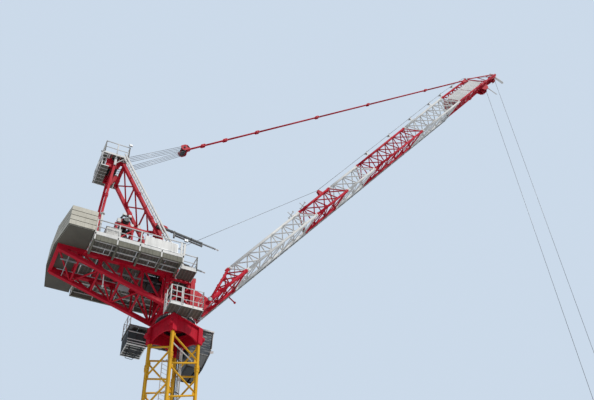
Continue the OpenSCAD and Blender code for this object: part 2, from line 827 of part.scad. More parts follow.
// height of the top chord, which rises slowly from the foot to the head
function top_h(s) = jib_h - max(S_J[5] - s, 0) * jib_rise;

function jib_pt(s, h) = [pivot_x + s * cos(luff) - h * sin(luff), 0, pivot_z + s * sin(luff) + h * cos(luff)];
P_PIN = jib_pt(pend_s, jib_h);
P_HEAD = [-head_x, 0, head_z];
P_DIR = (P_HEAD - P_PIN) / norm(P_HEAD - P_PIN);
P_LEN = norm(P_HEAD - P_PIN);
ROPE_LEN = 3180;
BLOCK = P_PIN + P_DIR * (P_LEN - ROPE_LEN);
P_TILT = atan2(P_PIN[2] - P_HEAD[2], P_PIN[0] - P_HEAD[0]);

module pendant_bars() {
    l = P_LEN - ROPE_LEN;
    n = 8;
    seg = (l - 200) / n;
    color(red)
        translate(P_PIN) rotate([0, -P_TILT, 0]) mirror([1, 0, 0]) {
            difference() {
                union() {
                    translate([0, -40, 0]) rotate([-90, 0, 0]) cylinder(h = 80, r = 70);
                    for (k = [-1, 1])
                        bar([0, k * 24, 0], [l - 200, k * 24, 0], 36, 8);
                    for (i = [1 : n - 1])
                        blk([i * seg - 90, -66, -42], [i * seg + 90, 66, 42]);
                    blk([l - 290, -70, -50], [l - 200, 70, 50]);
                }
            }
        }
}

N_SH = 4;
B_P = 86;
H_P = 90;
function row(i) = i - (N_SH - 1) / 2;
module luffing_block() {
    l = P_LEN - ROPE_LEN;
    color(red)
        translate(P_PIN) rotate([0, -P_TILT, 0]) mirror([1, 0, 0]) {
            difference() {
                blk([l - 200 + gap, -190, -125], [l + 130, 190, 125]);
                for (i = [0 : N_SH - 1])
                    blk([l - 110, row(i) * B_P - 24, -300], [l + 200, row(i) * B_P + 24, 300]);
            }
            for (i = [0 : N_SH - 1])
                translate([l, row(i) * B_P - 24 + gap, 0]) rotate([-90, 0, 0]) cylinder(h = 48 - 2 * gap, r = 100);
        }
}

// luffing ropes between two shares of their length, off the block's sheaves onto the head's
module luff_rope(t0, t1) {
    l = P_LEN - ROPE_LEN;
    d = 14;
    ha = 100 + d / 2 + gap;
    hb = sheave_r + d / 2 + gap;
    color(grey)
        translate(P_PIN) rotate([0, -P_TILT, 0]) mirror([1, 0, 0])
            for (i = [0 : N_SH - 1])
                for (h = [-1, 1])
                    bar([l + ROPE_LEN * t0, row(i) * (B_P + (H_P - B_P) * t0), h * (ha + (hb - ha) * t0)],
                        [l + ROPE_LEN * t1, row(i) * (B_P + (H_P - B_P) * t1), h * (ha + (hb - ha) * t1)], d, 6);
}

module luffing_rope_a() {
    luff_rope(0, 0.5);
}

module luffing_rope_b() {
    luff_rope(0.5001, 1);
}

R1 = jib_pt(HS[0][0], HS[0][1]) + [SH_R, 0, 0];
R2 = jib_pt(HS[1][0], HS[1][1]) + [SH_R, 0, 0];
module hoist_ropes() {
    color(grey) {
        bar([R1[0] + rope_d / 2 + gap, 0, hook_z - 190], [R1[0] + rope_d / 2 + gap, 0, R1[2]], rope_d, 8);
        bar([R2[0] + rope_d / 2 + gap, 0, hook_z - 190], [R2[0] + rope_d / 2 + gap, 0, R2[2]], rope_d, 8);
    }
}

module hook_block() {
    r = 170;
    xa = R2[0] + rope_d + 2 * gap + r;
    xb = R1[0] - r;
    mx = (xa + xb) / 2;
    hw = (xb - xa) / 2 + r;
    color(dark) {
        for (s = [-1, 1]) {
            blk([mx - hw + 30, s * 46, hook_z - 290], [mx + hw - 30, s * 70, hook_z - 90]);
            blk([mx - 150, s * 46, hook_z - 520], [mx + 150, s * 70, hook_z - 280]);
        }
        for (x = [xa, xb])
            translate([x, -46 + gap, hook_z - 190])
                rotate([-90, 0, 0]) cylinder(h = 92 - 2 * gap, r = r);
        blk([mx - 120, -46 + gap, hook_z - 520], [mx + 120, 46 - gap, hook_z - 400]);
        translate([mx, 0, hook_z - 640]) cylinder(h = 130, r = 42);
        translate([mx, 0, hook_z - 770]) rotate([90, 0, 0])
            rotate_extrude(angle = 270, $fn = 48) translate([105, 0]) circle(r = 38, $fn = 20);
    }
}

base_frame();
mast_side(0);  // mast_side_1
mast_side(90);  // mast_side_2
mast_side(180);  // mast_side_3
mast_side(270);  // mast_side_4
mast_ladder();
mast_cap();
slew_ring_lower();
slew_ring_upper();
turret();
turret_platform();
cabin();
cabin_glass();
cab_walkway();
electric_cabinet();
counter_jib_near();
counter_jib_far();
counter_jib_bracing();
deck_floor();
deck_railing();
counterweight();
luffing_winch();
deck_cabinet();
aframe_front();
aframe_ties();
aframe_head();
head_sheaves_set();  // aframe_sheaves
head_platform();
aframe_ladder();
backstops();
jib_foot();
jib_band_1();
jib_band_2();
jib_band_3();
jib_band_4();
jib_band_5();
jib_head();
head_sheaves();
wind_panels();
hoist_ropes();
hook_block();
pendant_bars();
luffing_block();
luffing_rope_a();
luffing_rope_b();
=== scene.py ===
"""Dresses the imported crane: finer tubes, plates, gratings and rails, finishes, camera and light.

Sizes are in millimetres in the row frame, but in metres for textures, lights and the camera.
"""

import json
from itertools import product
from math import cos, hypot, pi, radians, sin

import bpy
from mathutils import Matrix, Vector


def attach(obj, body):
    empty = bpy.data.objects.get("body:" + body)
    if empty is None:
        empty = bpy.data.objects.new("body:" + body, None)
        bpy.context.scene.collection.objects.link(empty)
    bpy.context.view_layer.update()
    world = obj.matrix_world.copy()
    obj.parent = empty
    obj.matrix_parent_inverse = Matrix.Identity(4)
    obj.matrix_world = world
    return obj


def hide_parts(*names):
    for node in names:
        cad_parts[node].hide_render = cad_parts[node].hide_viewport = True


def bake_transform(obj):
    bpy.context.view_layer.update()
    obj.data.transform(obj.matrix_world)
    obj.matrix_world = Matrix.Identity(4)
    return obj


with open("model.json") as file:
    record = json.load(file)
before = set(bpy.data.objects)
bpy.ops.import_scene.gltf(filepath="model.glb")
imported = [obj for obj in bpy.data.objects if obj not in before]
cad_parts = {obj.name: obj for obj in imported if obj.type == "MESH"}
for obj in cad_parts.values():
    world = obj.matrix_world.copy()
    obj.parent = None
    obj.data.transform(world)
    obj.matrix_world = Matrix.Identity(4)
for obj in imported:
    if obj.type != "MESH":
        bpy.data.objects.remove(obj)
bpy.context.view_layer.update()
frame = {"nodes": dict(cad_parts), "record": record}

# measures of the crane
LUFF, MAST_TURN = radians(52.3), radians(23)
PIVOT = Vector((812, 0, 15425))
JOINTS = (2030, 6560, 8940, 11340, 16290, 21060)
CHORD_Y, JIB_H, JIB_RISE = 538, 850, 0.016
FT = 16082.3  # top of the deck's floor
HEAD = Vector((-2750, 0, 20330))
X, Y, Z = (1, 0, 0), (0, 1, 0), (0, 0, 1)


def jib(s, y, h):
    """Point from the jib's own axes: along, across and above the bottom chords."""
    return PIVOT + Vector((s * cos(LUFF) - h * sin(LUFF), y, s * sin(LUFF) + h * cos(LUFF)))


def mast(x, y, z):
    """Point from the mast's own axes."""
    c, s = cos(MAST_TURN), sin(MAST_TURN)
    return Vector((x * c - y * s, x * s + y * c, z))


def plain(x, y, z):
    return Vector((x, y, z))


def top_h(s):
    """Height of the jib's top chord at s."""
    return JIB_H - max(JOINTS[5] - s, 0) * JIB_RISE


def lerp(a, b, t):
    return tuple(x + (y - x) * t for x, y in zip(a, b))


def circle(n, r=1):
    """Points at equal steps round a circle."""
    return [(r * cos(2 * pi * i / n), r * sin(2 * pi * i / n)) for i in range(n)]


def across(ax):
    """Two directions square to an axis and to each other."""
    side = ax.cross(Vector(Z))
    side = side.normalized() if side.length > 1e-4 else Vector(X)
    return side, side.cross(ax)


def walls(n):
    """Faces between two rings of n points."""
    return [(i, (i + 1) % n, n + (i + 1) % n, n + i) for i in range(n)]


def ends(n):
    return [tuple(reversed(range(n))), tuple(range(n, 2 * n))]


def spans(*p):
    """Both ends of each bar: the coordinate along it is a pair, and a list or range gives several bars."""
    for q in each(*p):
        yield zip(*(c if isinstance(c, tuple) else (c, c) for c in q))


def each(*p):
    """Every choice of coordinates, where one may be a list or a range."""
    return product(*(c if isinstance(c, (list, range)) else [c] for c in p))


class Kit:
    """Collects bars, blocks and plates in the axes of place and makes one piece of them on a body."""

    def __init__(self, place=plain, body="upper"):
        self.place, self.body = place, body
        self.clear()

    def clear(self):
        self.v, self.f, self.smooth = [], [], []

    def way(self, x, y, z):
        return tuple(self.place(x, y, z) - self.place(0, 0, 0))

    def add(self, verts, faces, smooth=False):
        n = len(self.v)
        self.v += [tuple(p) for p in verts]
        self.f += [tuple(i + n for i in f) for f in faces]
        self.smooth += [smooth and len(f) == 4 for f in faces]

    def tube(self, a, b, d, n=10, d2=None):
        """Round bar with n sides between two points, d2 wide at its far end."""
        a, b = self.place(*a), self.place(*b)
        side, up = across((b - a).normalized())
        vs = [p + (side * c + up * s) * r for p, r in ((a, d / 2), (b, (d if d2 is None else d2) / 2))
              for c, s in circle(n)]
        self.add(vs, walls(n) + ends(n), True)

    def rod(self, x, y, z, *size, **more):
        """Round bar along one axis."""
        for a, b in spans(x, y, z):
            self.tube(a, b, *size, **more)

    def pipe(self, pts, d, n=10):
        """Round bar along several points, with a ball of the same width at each bend."""
        for a, b in zip(pts, pts[1:]):
            self.tube(a, b, d, n)
        for p in pts[1:-1]:
            self.ball(p, d, 8, 5)

    def ball(self, c, d, n=12, m=7, squash=1.0):
        c, pole = self.place(*c), Vector((0, 0, d / 2 * squash))
        vs = [c + pole]
        for j in range(1, m):
            t = pi * j / m
            vs += [c + Vector((sin(t) * x, sin(t) * y, cos(t) * squash)) * d / 2 for x, y in circle(n)]
        vs.append(c - pole)
        fs = [(0, 1 + i, 1 + (i + 1) % n) for i in range(n)]
        for p in range(1, 1 + (m - 2) * n, n):
            fs += [(p + i, p + n + i, p + n + (i + 1) % n, p + (i + 1) % n) for i in range(n)]
        p = 1 + (m - 2) * n
        fs += [(p + i, p + n, p + (i + 1) % n) for i in range(n)]
        self.add(vs, fs, True)

    def block(self, a, b, bevel):
        """Block between two corners, its edges cut by bevel."""
        lo, hi = [min(p) for p in zip(a, b)], [max(p) for p in zip(a, b)]
        cut = min(bevel, *((h - l) / 3 for l, h in zip(lo, hi)))
        vs, at, square = [], {}, ((0, 0), (1, 0), (1, 1), (0, 1))

        def v(corner, k):
            """Point at a corner on the face square to axis k."""
            if (corner, k) not in at:
                at[corner, k] = len(vs)
                vs.append(self.place(*((h - (j != k) * cut) if c else (l + (j != k) * cut)
                                       for j, (c, l, h) in enumerate(zip(corner, lo, hi)))))
            return at[corner, k]

        def corner(k, t, c):
            return (*c[:k], t, *c[k:])

        fs = []
        for k, t in product(range(3), (0, 1)):
            quad = [v(corner(k, t, c), k) for c in square]
            fs.append(tuple(quad if (t == 1) != (k == 1) else reversed(quad)))
        for k, c in product(range(3), square):
            i, j = (m for m in range(3) if m != k)
            (p, q), (r, s) = ((v(corner(k, t, c), i), v(corner(k, t, c), j)) for t in (0, 1))
            fs.append((p, q, s, r))
        fs += [tuple(v(c, k) for k in range(3)) for c in product((0, 1), repeat=3)]
        self.add(vs, fs)

    def beam(self, a, b, w, h=None, up=Z):
        """Rectangular bar between two points: w across, h along up."""
        a, b = self.place(*a), self.place(*b)
        h = w if h is None else h
        ax = (b - a).normalized()
        u = Vector(up)
        if abs(ax.dot(u)) > 0.98:
            u = Vector(X)
        side = ax.cross(u).normalized()
        u = side.cross(ax)
        vs = [p + side * i * w / 2 + u * j * h / 2 for p in (a, b) for i,
                j in ((-1, -1), (1, -1), (1, 1), (-1, 1))]
        self.add(vs, ends(4) + walls(4))

    def rail(self, x, y, z, *size, **more):
        """Rectangular bar along one axis."""
        for a, b in spans(x, y, z):
            self.beam(a, b, *size, **more)

    def plate(self, pts, t, normal):
        """Flat plate: its outline points, its thickness, and which way it grows."""
        p, n = [self.place(*q) for q in pts], Vector(normal).normalized() * t
        self.add(p + [q + n for q in p], ends(len(p)) + walls(len(p)))

    def cheek(self, y, t, *xz):
        """Upright plate along the crane: it grows from y by t, and its corners are x and z in turn."""
        for (at,) in each(y):
            self.plate([(x, at, z) for x, z in zip(xz[::2], xz[1::2])], t, Y)

    def disc(self, c, axis, r, t, n=40, hole=0, groove=0):
        """Wheel or washer: centre, axis, radius and width, with a hole or a rope groove."""
        c, ax = self.place(*c), Vector(axis).normalized()
        s, u = across(ax)
        rim = ((-t / 4, r - groove), (t / 4, r - groove)) if groove else ()
        prof = ((-t / 2, r), *rim, (t / 2, r), (t / 2, hole), (-t / 2, hole))
        m = len(prof)
        vs = [c + ax * o + (s * x + u * y) * q for x, y in circle(n) for o, q in prof]
        fs = [(i * m + j, i * m + (j + 1) % m, (i + 1) % n * m + (j + 1) % m, (i + 1) % n * m + j)
              for i in range(n) for j in range(m)]
        self.add(vs, fs, True)

    def wheel(self, x, y, z, *size, **more):
        """Disc on an axis across the crane."""
        for c in each(x, y, z):
            self.disc(c, Y, *size, **more)

    def make(self, name, mat, replaces=None, slot=None):
        """A dressed_ piece replaces the node of that name."""
        me = bpy.data.meshes.new(name)
        me.from_pydata([Vector(p) * 0.001 for p in self.v], [], self.f)
        me.validate()
        me.polygons.foreach_set("use_smooth", self.smooth[:len(me.polygons)])
        me.update()
        self.clear()
        ob = bpy.data.objects.new(name, me)
        bpy.context.scene.collection.objects.link(ob)
        me.materials.append(mat)
        if self.body:
            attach(ob, self.body)
        if name.startswith("dressed_"):
            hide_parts(replaces or name[8:])
        slot = SLOTS.get(mat.name) if slot is None else slot
        return ob


class Nodes:
    """Shader nodes of a material or a world."""

    def __init__(self, tree):
        self.tree = tree

    def put(self, socket, value):
        """Gives an input a number, a colour, a vector or another node's output."""
        if isinstance(value, tuple):
            socket.default_value = (*value, 1) if len(socket.default_value) == 4 else value
        elif isinstance(value, (int, float)):
            socket.default_value = value
        else:
            self.tree.links.new(value, socket)

    def node(self, kind, *inputs, **named):
        n = self.tree.nodes.new("ShaderNode" + kind)
        for key, value in (*enumerate(inputs), *named.items()):
            self.put(n.inputs[key], value)
        return n

    def math(self, operation, a, b):
        n = self.node("Math", a, b)
        n.operation = operation
        return n.outputs[0]

    def ramp(self, fac, *stops):
        """Grey levels at positions along a factor."""
        n = self.node("ValToRGB", fac)
        for e, (pos, grey) in zip(n.color_ramp.elements, stops):
            e.position, e.color = pos, (grey, grey, grey, 1)
        return n.outputs["Color"]

    def mix(self, fac, a, b, mode="MIX"):
        n = self.node("Mix")
        n.data_type, n.blend_type = "RGBA", mode
        for key, value in (("Factor", fac), ("A", a), ("B", b)):
            self.put(n.inputs[key], value)
        return n.outputs["Result"]


class Look(Nodes):
    """Nodes of a new material, with textures in the object's axes."""

    def __init__(self, name):
        self.mat = bpy.data.materials.new(name)
        self.mat.use_nodes = True
        super().__init__(self.mat.node_tree)
        self.co = self.node("TexCoord").outputs["Object"]

    def noise(self, scale, detail=4, rough=0.6, stretch=None):
        co = self.node("Mapping", Vector=self.co, Scale=stretch).outputs["Vector"] if stretch else self.co
        return self.node("TexNoise", Vector=co, Scale=scale, Detail=detail, Roughness=rough).outputs["Fac"]

    def bands(self, pitch, direction, distortion=0.0):
        n = self.node("TexWave", Vector=self.co, Scale=0.314 / pitch, Distortion=distortion)
        n.bands_direction = direction
        return n.outputs["Fac"]

    def finish(self, color, rough, bump=None, **more):
        """Sets the shader: colour, roughness, bump as strength, depth in metres and height, and the rest."""
        more.update({"Base Color": color, "Roughness": rough})
        if bump:
            strength, depth, height = bump
            more["Normal"] = self.node("Bump", Strength=strength, Distance=depth,
                    Height=height).outputs["Normal"]
        for key, value in more.items():
            self.put(self.tree.nodes["Principled BSDF"].inputs[key], value)
        return self.mat


def paint(name, color, grime, dirt, rust, rough, metal=0.0):
    """Sprayed steel: faded patches, streaks that run down, grime, chips to primer, orange-peel bump."""
    m = Look(name)
    fade, speck, fine = m.noise(1.3, 5), m.noise(22, 6, 0.7), m.noise(240, 3)
    streak = m.noise(3.0, 5, 0.65, stretch=(7, 7, 0.5))
    light, dark = tuple(min(1, c * 1.10) for c in color), tuple(c * 0.80 for c in color)
    col = m.mix(m.ramp(fade, (0.3, 0), (0.72, 1)), dark, light)
    col = m.mix(m.ramp(streak, (0.50, 0), (0.78, dirt)), col, grime)
    col = m.mix(m.ramp(speck, (0.66, 0), (0.72, rust)), col, (0.17, 0.075, 0.035))
    rg = m.mix(m.ramp(streak, (0.45, 0), (0.8, 1)), (rough,) * 3, (min(1, rough + 0.3),) * 3)
    return m.finish(col, rg, (0.25, 0.002, m.mix(0.35, fine, speck)), Metallic=metal,
                    **{"Specular IOR Level": 0.5 if metal else 0.18})


def grating(name, color, pitch=0.034):
    """Open bar grating: bright bearing bars over gaps painted dark as the shade between them, dusty and
    zinc-grey.
    """
    m = Look(name)
    bars = m.mix(1.0, m.ramp(m.bands(pitch, "Y"), (0.35, 0), (0.55, 1)),
                 m.ramp(m.bands(pitch * 3, "X"), (0.72, 0), (0.86, 1)), "LIGHTEN")
    wear = m.noise(5, 5)
    lit = m.mix(m.ramp(wear, (0.3, 0), (0.7, 1)), tuple(c * 0.75 for c in color), color)
    # painted shade: the gaps between the bars take 0.28 of the bar colour
    return m.finish(m.mix(bars, tuple(c * 0.28 for c in color), lit), m.ramp(wear, (0.2, 0.45), (0.8, 0.75)),
                    (0.6, 0.006, bars), Metallic=0.4)


def concrete(name):
    """Cast ballast slabs, painted cream: form marks, pores and run-off stains."""
    m = Look(name)
    cloud, pores = m.noise(1.6, 7, 0.62), m.noise(60, 4, 0.7)
    streak = m.noise(2.2, 6, 0.7, stretch=(5, 5, 0.35))
    pits = m.node("TexVoronoi", Vector=m.co, Scale=34).outputs["Distance"]
    col = m.mix(m.ramp(cloud, (0.32, 0), (0.7, 1)), (0.50, 0.475, 0.40), (0.70, 0.675, 0.585))
    col = m.mix(m.ramp(streak, (0.50, 0), (0.80, 0.55)), col, (0.20, 0.185, 0.155))
    col = m.mix(m.ramp(pits, (0.05, 0.55), (0.12, 0)), col, (0.16, 0.15, 0.13))
    # painted shade: faces turned down are coloured near-black, standing in for the shade under the slabs
    up = m.node("SeparateXYZ", m.node("NewGeometry").outputs["True Normal"]).outputs["Z"]
    underside_painted_shade = m.mix(m.ramp(cloud, (0.3, 0), (0.7, 1)), (0.085, 0.078, 0.062), (0.13, 0.12, 0.095))
    col = m.mix(m.math("LESS_THAN", up, -0.8), col, underside_painted_shade)
    return m.finish(col, m.ramp(cloud, (0.2, 0.78), (0.8, 0.95)), (0.5, 0.004, m.mix(0.5, pores, pits)))


def wire_rope(name, color, pitch=0.05):
    """Laid strands: slanted bands along the rope, greasy grey."""
    m = Look(name)
    lay, n = m.bands(pitch, "DIAGONAL", 0.6), m.noise(9)
    base = m.mix(m.ramp(lay, (0.2, 0), (0.7, 1)), tuple(c * 0.45 for c in color), color)
    return m.finish(m.mix(m.ramp(n, (0.4, 0), (0.75, 0.5)), base, (0.05, 0.045, 0.04)),
                    m.ramp(n, (0.3, 0.35), (0.8, 0.6)), (0.6, 0.003, lay), Metallic=0.6)


def cab_glass(name):
    """Tinted panes: dark, glossy, with patches of dust and faint wiper smears."""
    m = Look(name)
    dust, smear = m.noise(3.5, 6, 0.65), m.noise(5, stretch=(1, 1, 6))
    return m.finish(m.mix(m.ramp(dust, (0.45, 0), (0.85, 0.5)), (0.012, 0.018, 0.024), (0.10, 0.10, 0.095)),
                    m.mix(m.ramp(smear, (0.4, 0), (0.8, 1)), (0.05,) * 3, (0.32,) * 3), IOR=1.5,
                    **{"Coat Weight": 0.6, "Coat Roughness": 0.04})


# colour, grime, and how much dirt, rust and roughness
RED = paint("red_paint", (0.55, 0.006, 0.026), (0.12, 0.02, 0.02), 0.40, 0.25, 0.5)
# painted shade: a darker copy of the red paint for red parts seen in shade, also with more dirt and rust
RED_SHADE = paint("red_paint_shaded_and_worn", (0.40, 0.006, 0.020), (0.08, 0.02, 0.02), 0.6, 0.5, 0.55)
YELLOW = paint("yellow_paint", (0.80, 0.43, 0.022), (0.16, 0.11, 0.05), 0.30, 0.30, 0.42)
WHITE = paint("white_paint", (0.80, 0.80, 0.78), (0.36, 0.34, 0.31), 0.30, 0.22, 0.45)
GALV = paint("galvanised", (0.40, 0.41, 0.42), (0.16, 0.15, 0.14), 0.4, 0.12, 0.45, metal=0.6)
GREY = paint("grey_paint", (0.20, 0.205, 0.205), (0.07, 0.065, 0.06), 0.5, 0.25, 0.5)
OLIVE = paint("olive_grey_cladding", (0.20, 0.195, 0.155), (0.09, 0.085, 0.07), 0.55, 0.3, 0.55)
SLATE = paint("slate_paint", (0.055, 0.062, 0.066), (0.10, 0.095, 0.085), 0.5, 0.15, 0.45)
DARK = paint("dark_steel", (0.035, 0.036, 0.038), (0.10, 0.09, 0.075), 0.35, 0.4, 0.42, metal=0.3)
GRATE = grating("walkway_grating", (0.20, 0.195, 0.165))
ROPE = wire_rope("wire_rope", (0.34, 0.34, 0.35))
GLASS = cab_glass("cab_panes")
BY_SLOT = {"red_paint": RED, "yellow_paint": YELLOW, "white_paint": WHITE, "grey_steel": GREY,
        "dark_steel": DARK,
           "rope": ROPE, "cab_glass": GLASS, "concrete": concrete("ballast_concrete")}
SLOTS = {mat.name: slot for slot, mat in BY_SLOT.items()}
SLOTS.update({"olive_grey_cladding": "grey_steel", "slate_paint": "grey_steel"})
for sub in frame["record"]["subparts"]:
    ob = frame["nodes"][sub["node"]]
    ob.data.materials.clear()
    ob.data.materials.append(BY_SLOT[sub["material_slot"]])


def handrail(k, a, b, n, h=540, d=22, mid=2, toe=0, post=None):
    """Posts with feet, round rails and a toe board from a to b."""
    post = post or d * 1.15
    for i in range(n + 1):
        x, y, z = lerp(a, b, i / n)
        k.rod(x, y, (z, z + h), post, 10)
        k.block((x - 24, y - 24, z), (x + 24, y + 24, z + 8), 2)
        k.ball((x, y, z + h), post * 1.08, 10, 5)
    for j in range(1, mid + 1):
        z = h * j / mid
        k.tube((a[0], a[1], a[2] + z), (b[0], b[1], b[2] + z), d if j == mid else d * 0.8, 10)
    if toe:
        dx, dy = b[1] - a[1], a[0] - b[0]
        ox, oy = (c / hypot(dx, dy) * 6 for c in (dx, dy))
        k.plate([(p[0] + ox, p[1] + oy, p[2] + z) for p, z in ((a, 4), (b, 4), (b, toe), (a, toe))], 5,
                (dx, dy, 0))


def floor_panels(k, x0, x1, y0, y1, z, t, n, gap=5):
    """Grating panels side by side along x with narrow joints."""
    for i in range(n):
        a, b = (x0 + (x1 - x0) * j / n for j in (i, i + 1))
        k.block((a + gap, y0 + gap, z), (b - gap, y1 - gap, z + t), 3)


def bracket(k, x, y, t, a, z0, b, z1):
    """Upright plate at y about x, of half width a at z0 and b at z1."""
    k.cheek(y, t, x - a, z0, x + a, z0, x + b, z1, x - b, z1)


def gusset(k, s, e, t, a, y0, h0, b, y1, h1):
    """Leaning plate about s on side e: half width, y and height of its lower and upper edge."""
    k.plate([(s - a, e * y0, h0), (s + a, e * y0, h0), (s + b, e * y1, h1), (s - b, e * y1, h1)], t,
            (0, e, 0))


def turned(q):
    """Places points on the mast's side q, whose legs stand at y = -500."""
    c, s = cos(radians(90 * q)), sin(radians(90 * q))
    return lambda x, y, z: mast(x * c - y * s, x * s + y * c, z)


# the mast, one side after the other
MAST_TOP, BAY, BRACE_TOP = 13950, 1050, 13890
for q in range(4):
    k = Kit(turned(q), "mast")
    cuts = [180] + [BRACE_TOP - 2 * BAY * j - BAY * 0.72 for j in range(5, -1, -1)] + [MAST_TOP - 0.5]
    for z0, z1 in zip(cuts, cuts[1:]):
        k.block((-542, -542, z0 + 2), (-458, -458, z1 - 2), 9)
    for z in cuts[1:-1]:
        # splice blocks and their bolts on the two outer faces of the leg
        for m in (z - 62, z + 62):
            k.block((-552, -552, m - 52), (-448, -448, m + 52), 6)
            for x in (-524, -476):
                k.disc((x, -556, m), k.way(0, -1, 0), 13, 20, 6)
        k.block((-558, -558, z - 12), (-442, -442, z + 12), 3)
    for j in range(13):
        z, m, low = (BRACE_TOP - u * BAY for u in (j, j + 0.5, j + 1))
        k.tube((-500, -500, z - 34), (500, -500, m + 34), 56, 12)
        k.tube((500, -500, m - 34), (-500, -500, low + 34), 56, 12)
        # gussets welded to the legs where the braces meet
        for e, h in ((1, z), (-1, m)):
            k.plate([(e * x, -504, h + o) for x, o in ((-456, 62), (-382, 26), (-382, -66), (-456, -92))],
                    8, k.way(*Y))
    k.make("dressed_mast_side_%d" % (q + 1), YELLOW)

# ladder in the mast with side rails and rungs, resting floors and the supply cable
k = Kit(mast, "mast")
for x in (-110, 110):
    k.block((x - 7, 314, 190), (x + 7, 346, 13620), 3)
for j in range(96):
    k.rod((-110, 110), 330, 250 + j * 140, 13, 8)
for j, x in product(range(12), (-110, 110)):
    z = MAST_TOP - 90 - j * BAY - (BAY / 2 - 60) * (500 - x) / 1000
    k.block((x - 6, 330, z - 14), (x + 6, 472, z + 14), 2)
    k.disc((x, 474, z), k.way(*Y), 20, 10, 6)
k.make("dressed_mast_ladder", WHITE)
REST_FLOORS = range(2700, 11101, 2100)
for z in REST_FLOORS:
    floor_panels(k, -430, 430, -440, 120, z, 22, 3)
k.make("mast_rest_floors", GRATE)
for z in REST_FLOORS:
    k.rail((-440, 440), [-450, 130], z + 4, 12, 42)
    k.rail([-440, 440], (-450, 130), z + 4, 12, 42)
    k.rail((-500, 500), [-440, 120], z - 22, 30, 36)
k.make("mast_rest_floor_frames", GALV)
pts = [(70, -110, 13900)]
pts += [(70 + 6 * sin(j * 1.7), -110 + 5 * cos(j * 2.3), 13445 - j * 455) for j in range(30)]
k.pipe(pts, 34, 8)
k.pipe([(x + 52, y, z) for x, y, z in pts], 22, 8)
for j in range(12):
    k.block((40, -138, 13400 - j * 1050), (220, -122, 13430 - j * 1050), 4)
k.make("mast_supply_cable", DARK, slot="")
# cable ladder beside it and a stay below the head
for x in (175, 235):
    k.block((x - 5, -130, 250), (x + 5, -80, 13880), 2)
for j in range(54):
    k.block((175, -112, 400 + j * 250), (235, -96, 416 + j * 250), 3)
k.tube((-460, -440, 13640), (470, -300, 13478), 36, 12)
k.make("mast_cable_ladder", WHITE)

# foot of the mast: anchor nuts, stiffeners
CORNERS = tuple(product((-1, 1), repeat=2))
FIN = ((545, 181), (625, 181), (545, 300))
for i, j in CORNERS:
    k.rod(i * 595, j * 595, (20, 262), 30, 12)
    for z, r, t, n in ((190, 34, 8, 24), (210, 26, 28, 6), (236, 26, 20, 6)):
        k.disc((i * 595, j * 595, z), Z, r, t, n)
    k.plate([(i * 500, j * y, z) for y, z in FIN], 10, k.way(*X))
    k.plate([(i * x, j * 500, z) for x, z in FIN], 10, k.way(*Y))
k.make("mast_anchors", GALV)

# mast head: pins in the lugs, ribs, bolts of the slewing ring
LUG_Z, HEAD_TOP = 14190, 14478
for i, j in CORNERS:
    for x, r, t in ((615, 58, 20), (618, 34, 46)):
        k.disc((i * x, j * 500, LUG_Z), k.way(*X), r, t, 28)
    for y, z in circle(6, 46):
        k.disc((i * 622, j * 500 + y, LUG_Z + z), k.way(*X), 9, 16, 6)
k.make("mast_head_pins", GALV)
for q in range(4):
    k.place = turned(q)
    for x in (-330, -165, 0, 165, 330):
        z = 14160 - 0.00062 * x * x
        k.plate([(x, -486, z + 40), (x, -486, HEAD_TOP), (x, -532, HEAD_TOP), (x, -509, z + 120)], 8,
                k.way(*X))
    k.rail((-420, 420), -486, 14440, 30, 22)
k.make("mast_head_ribs", RED)
k.place = mast
for x, y in circle(44, 530):
    k.disc((x, y, 14508), Z, 13, 22, 6)
k.make("ring_bolts_below", GALV)
k = Kit()
for x, y in circle(72, 600):
    k.block((x - 9, y - 9, 14604), (x + 9, y + 9, 14668), 3)
for x, y in circle(88, 560)[1::2]:
    k.disc((x, y, 14688), Z, 12, 24, 6)
k.make("ring_bolts_above", GALV)

# the jib
k = Kit(jib, "jib")


def fork(s, e, y, h, pin):
    """Joint fork at a chord's end, with its pin."""
    for o in (y - 34, y + 34):
        k.block((s + e * 2, o - 9, h - 56), (s + e * 140, o + 9, h + 56), 5)
    k.wheel(s + e * 60, y, h, 26, pin, 14)


def dress_band(i, panels, mat):
    """One band of the jib: three chords, two zigzag sides, a laced floor and end frames."""
    s0, s1 = JOINTS[i] + 0.2, JOINTS[i + 1] - 0.2
    p = (s1 - s0) / panels
    for e in (-1, 1):
        k.rod((s0, s1), e * CHORD_Y, 0, 92, 14)
        for j in range(panels):
            a, m, b = (s0 + u * p for u in (j, j + 0.5, j + 1))
            k.tube((a + 20, e * CHORD_Y, 10), (m - 8, e * 14, top_h(m)), 46, 10)
            k.tube((m + 8, e * 14, top_h(m)), (b - 20, e * CHORD_Y, 10), 46, 10)
            lo = a - 70 if j else a
            k.plate([(lo, e * 520, 28), (a + 70, e * 520, 28), (a + 34, e * 478, 92),
                    (max(lo, a - 34), e * 478, 92)],
                    8, (0, e, 0))
    k.tube((s0, 0, top_h(s0)), (s1, 0, top_h(s1)), 100, 14)
    for j in range(panels):
        a, b, y = s0 + j * p, s0 + (j + 1) * p, CHORD_Y if j % 2 else -CHORD_Y
        k.tube((a + 30, -y, -3), (b - 30, y, -3), 38, 8)
        if j:
            k.rod(a, (-CHORD_Y, CHORD_Y), 0, 38, 8)
    for s in (s0 + 26, s1 - 26):
        k.rod(s, (-CHORD_Y, CHORD_Y), 0, 54, 10)
        for e in (-1, 1):
            k.tube((s, e * CHORD_Y, 0), (s, 0, top_h(s)), 36, 8)
    for s, e in ((s0, 1), (s1, -1)):
        for y, h in ((-CHORD_Y, 0), (CHORD_Y, 0), (0, top_h(s))):
            fork(s, e, y, h, 112)
    k.make("dressed_jib_band_%d" % (i + 1), mat)


for i, (panels, mat) in enumerate(((6, WHITE), (3, RED), (3, WHITE), (6, RED), (6, WHITE))):
    dress_band(i, panels, mat)

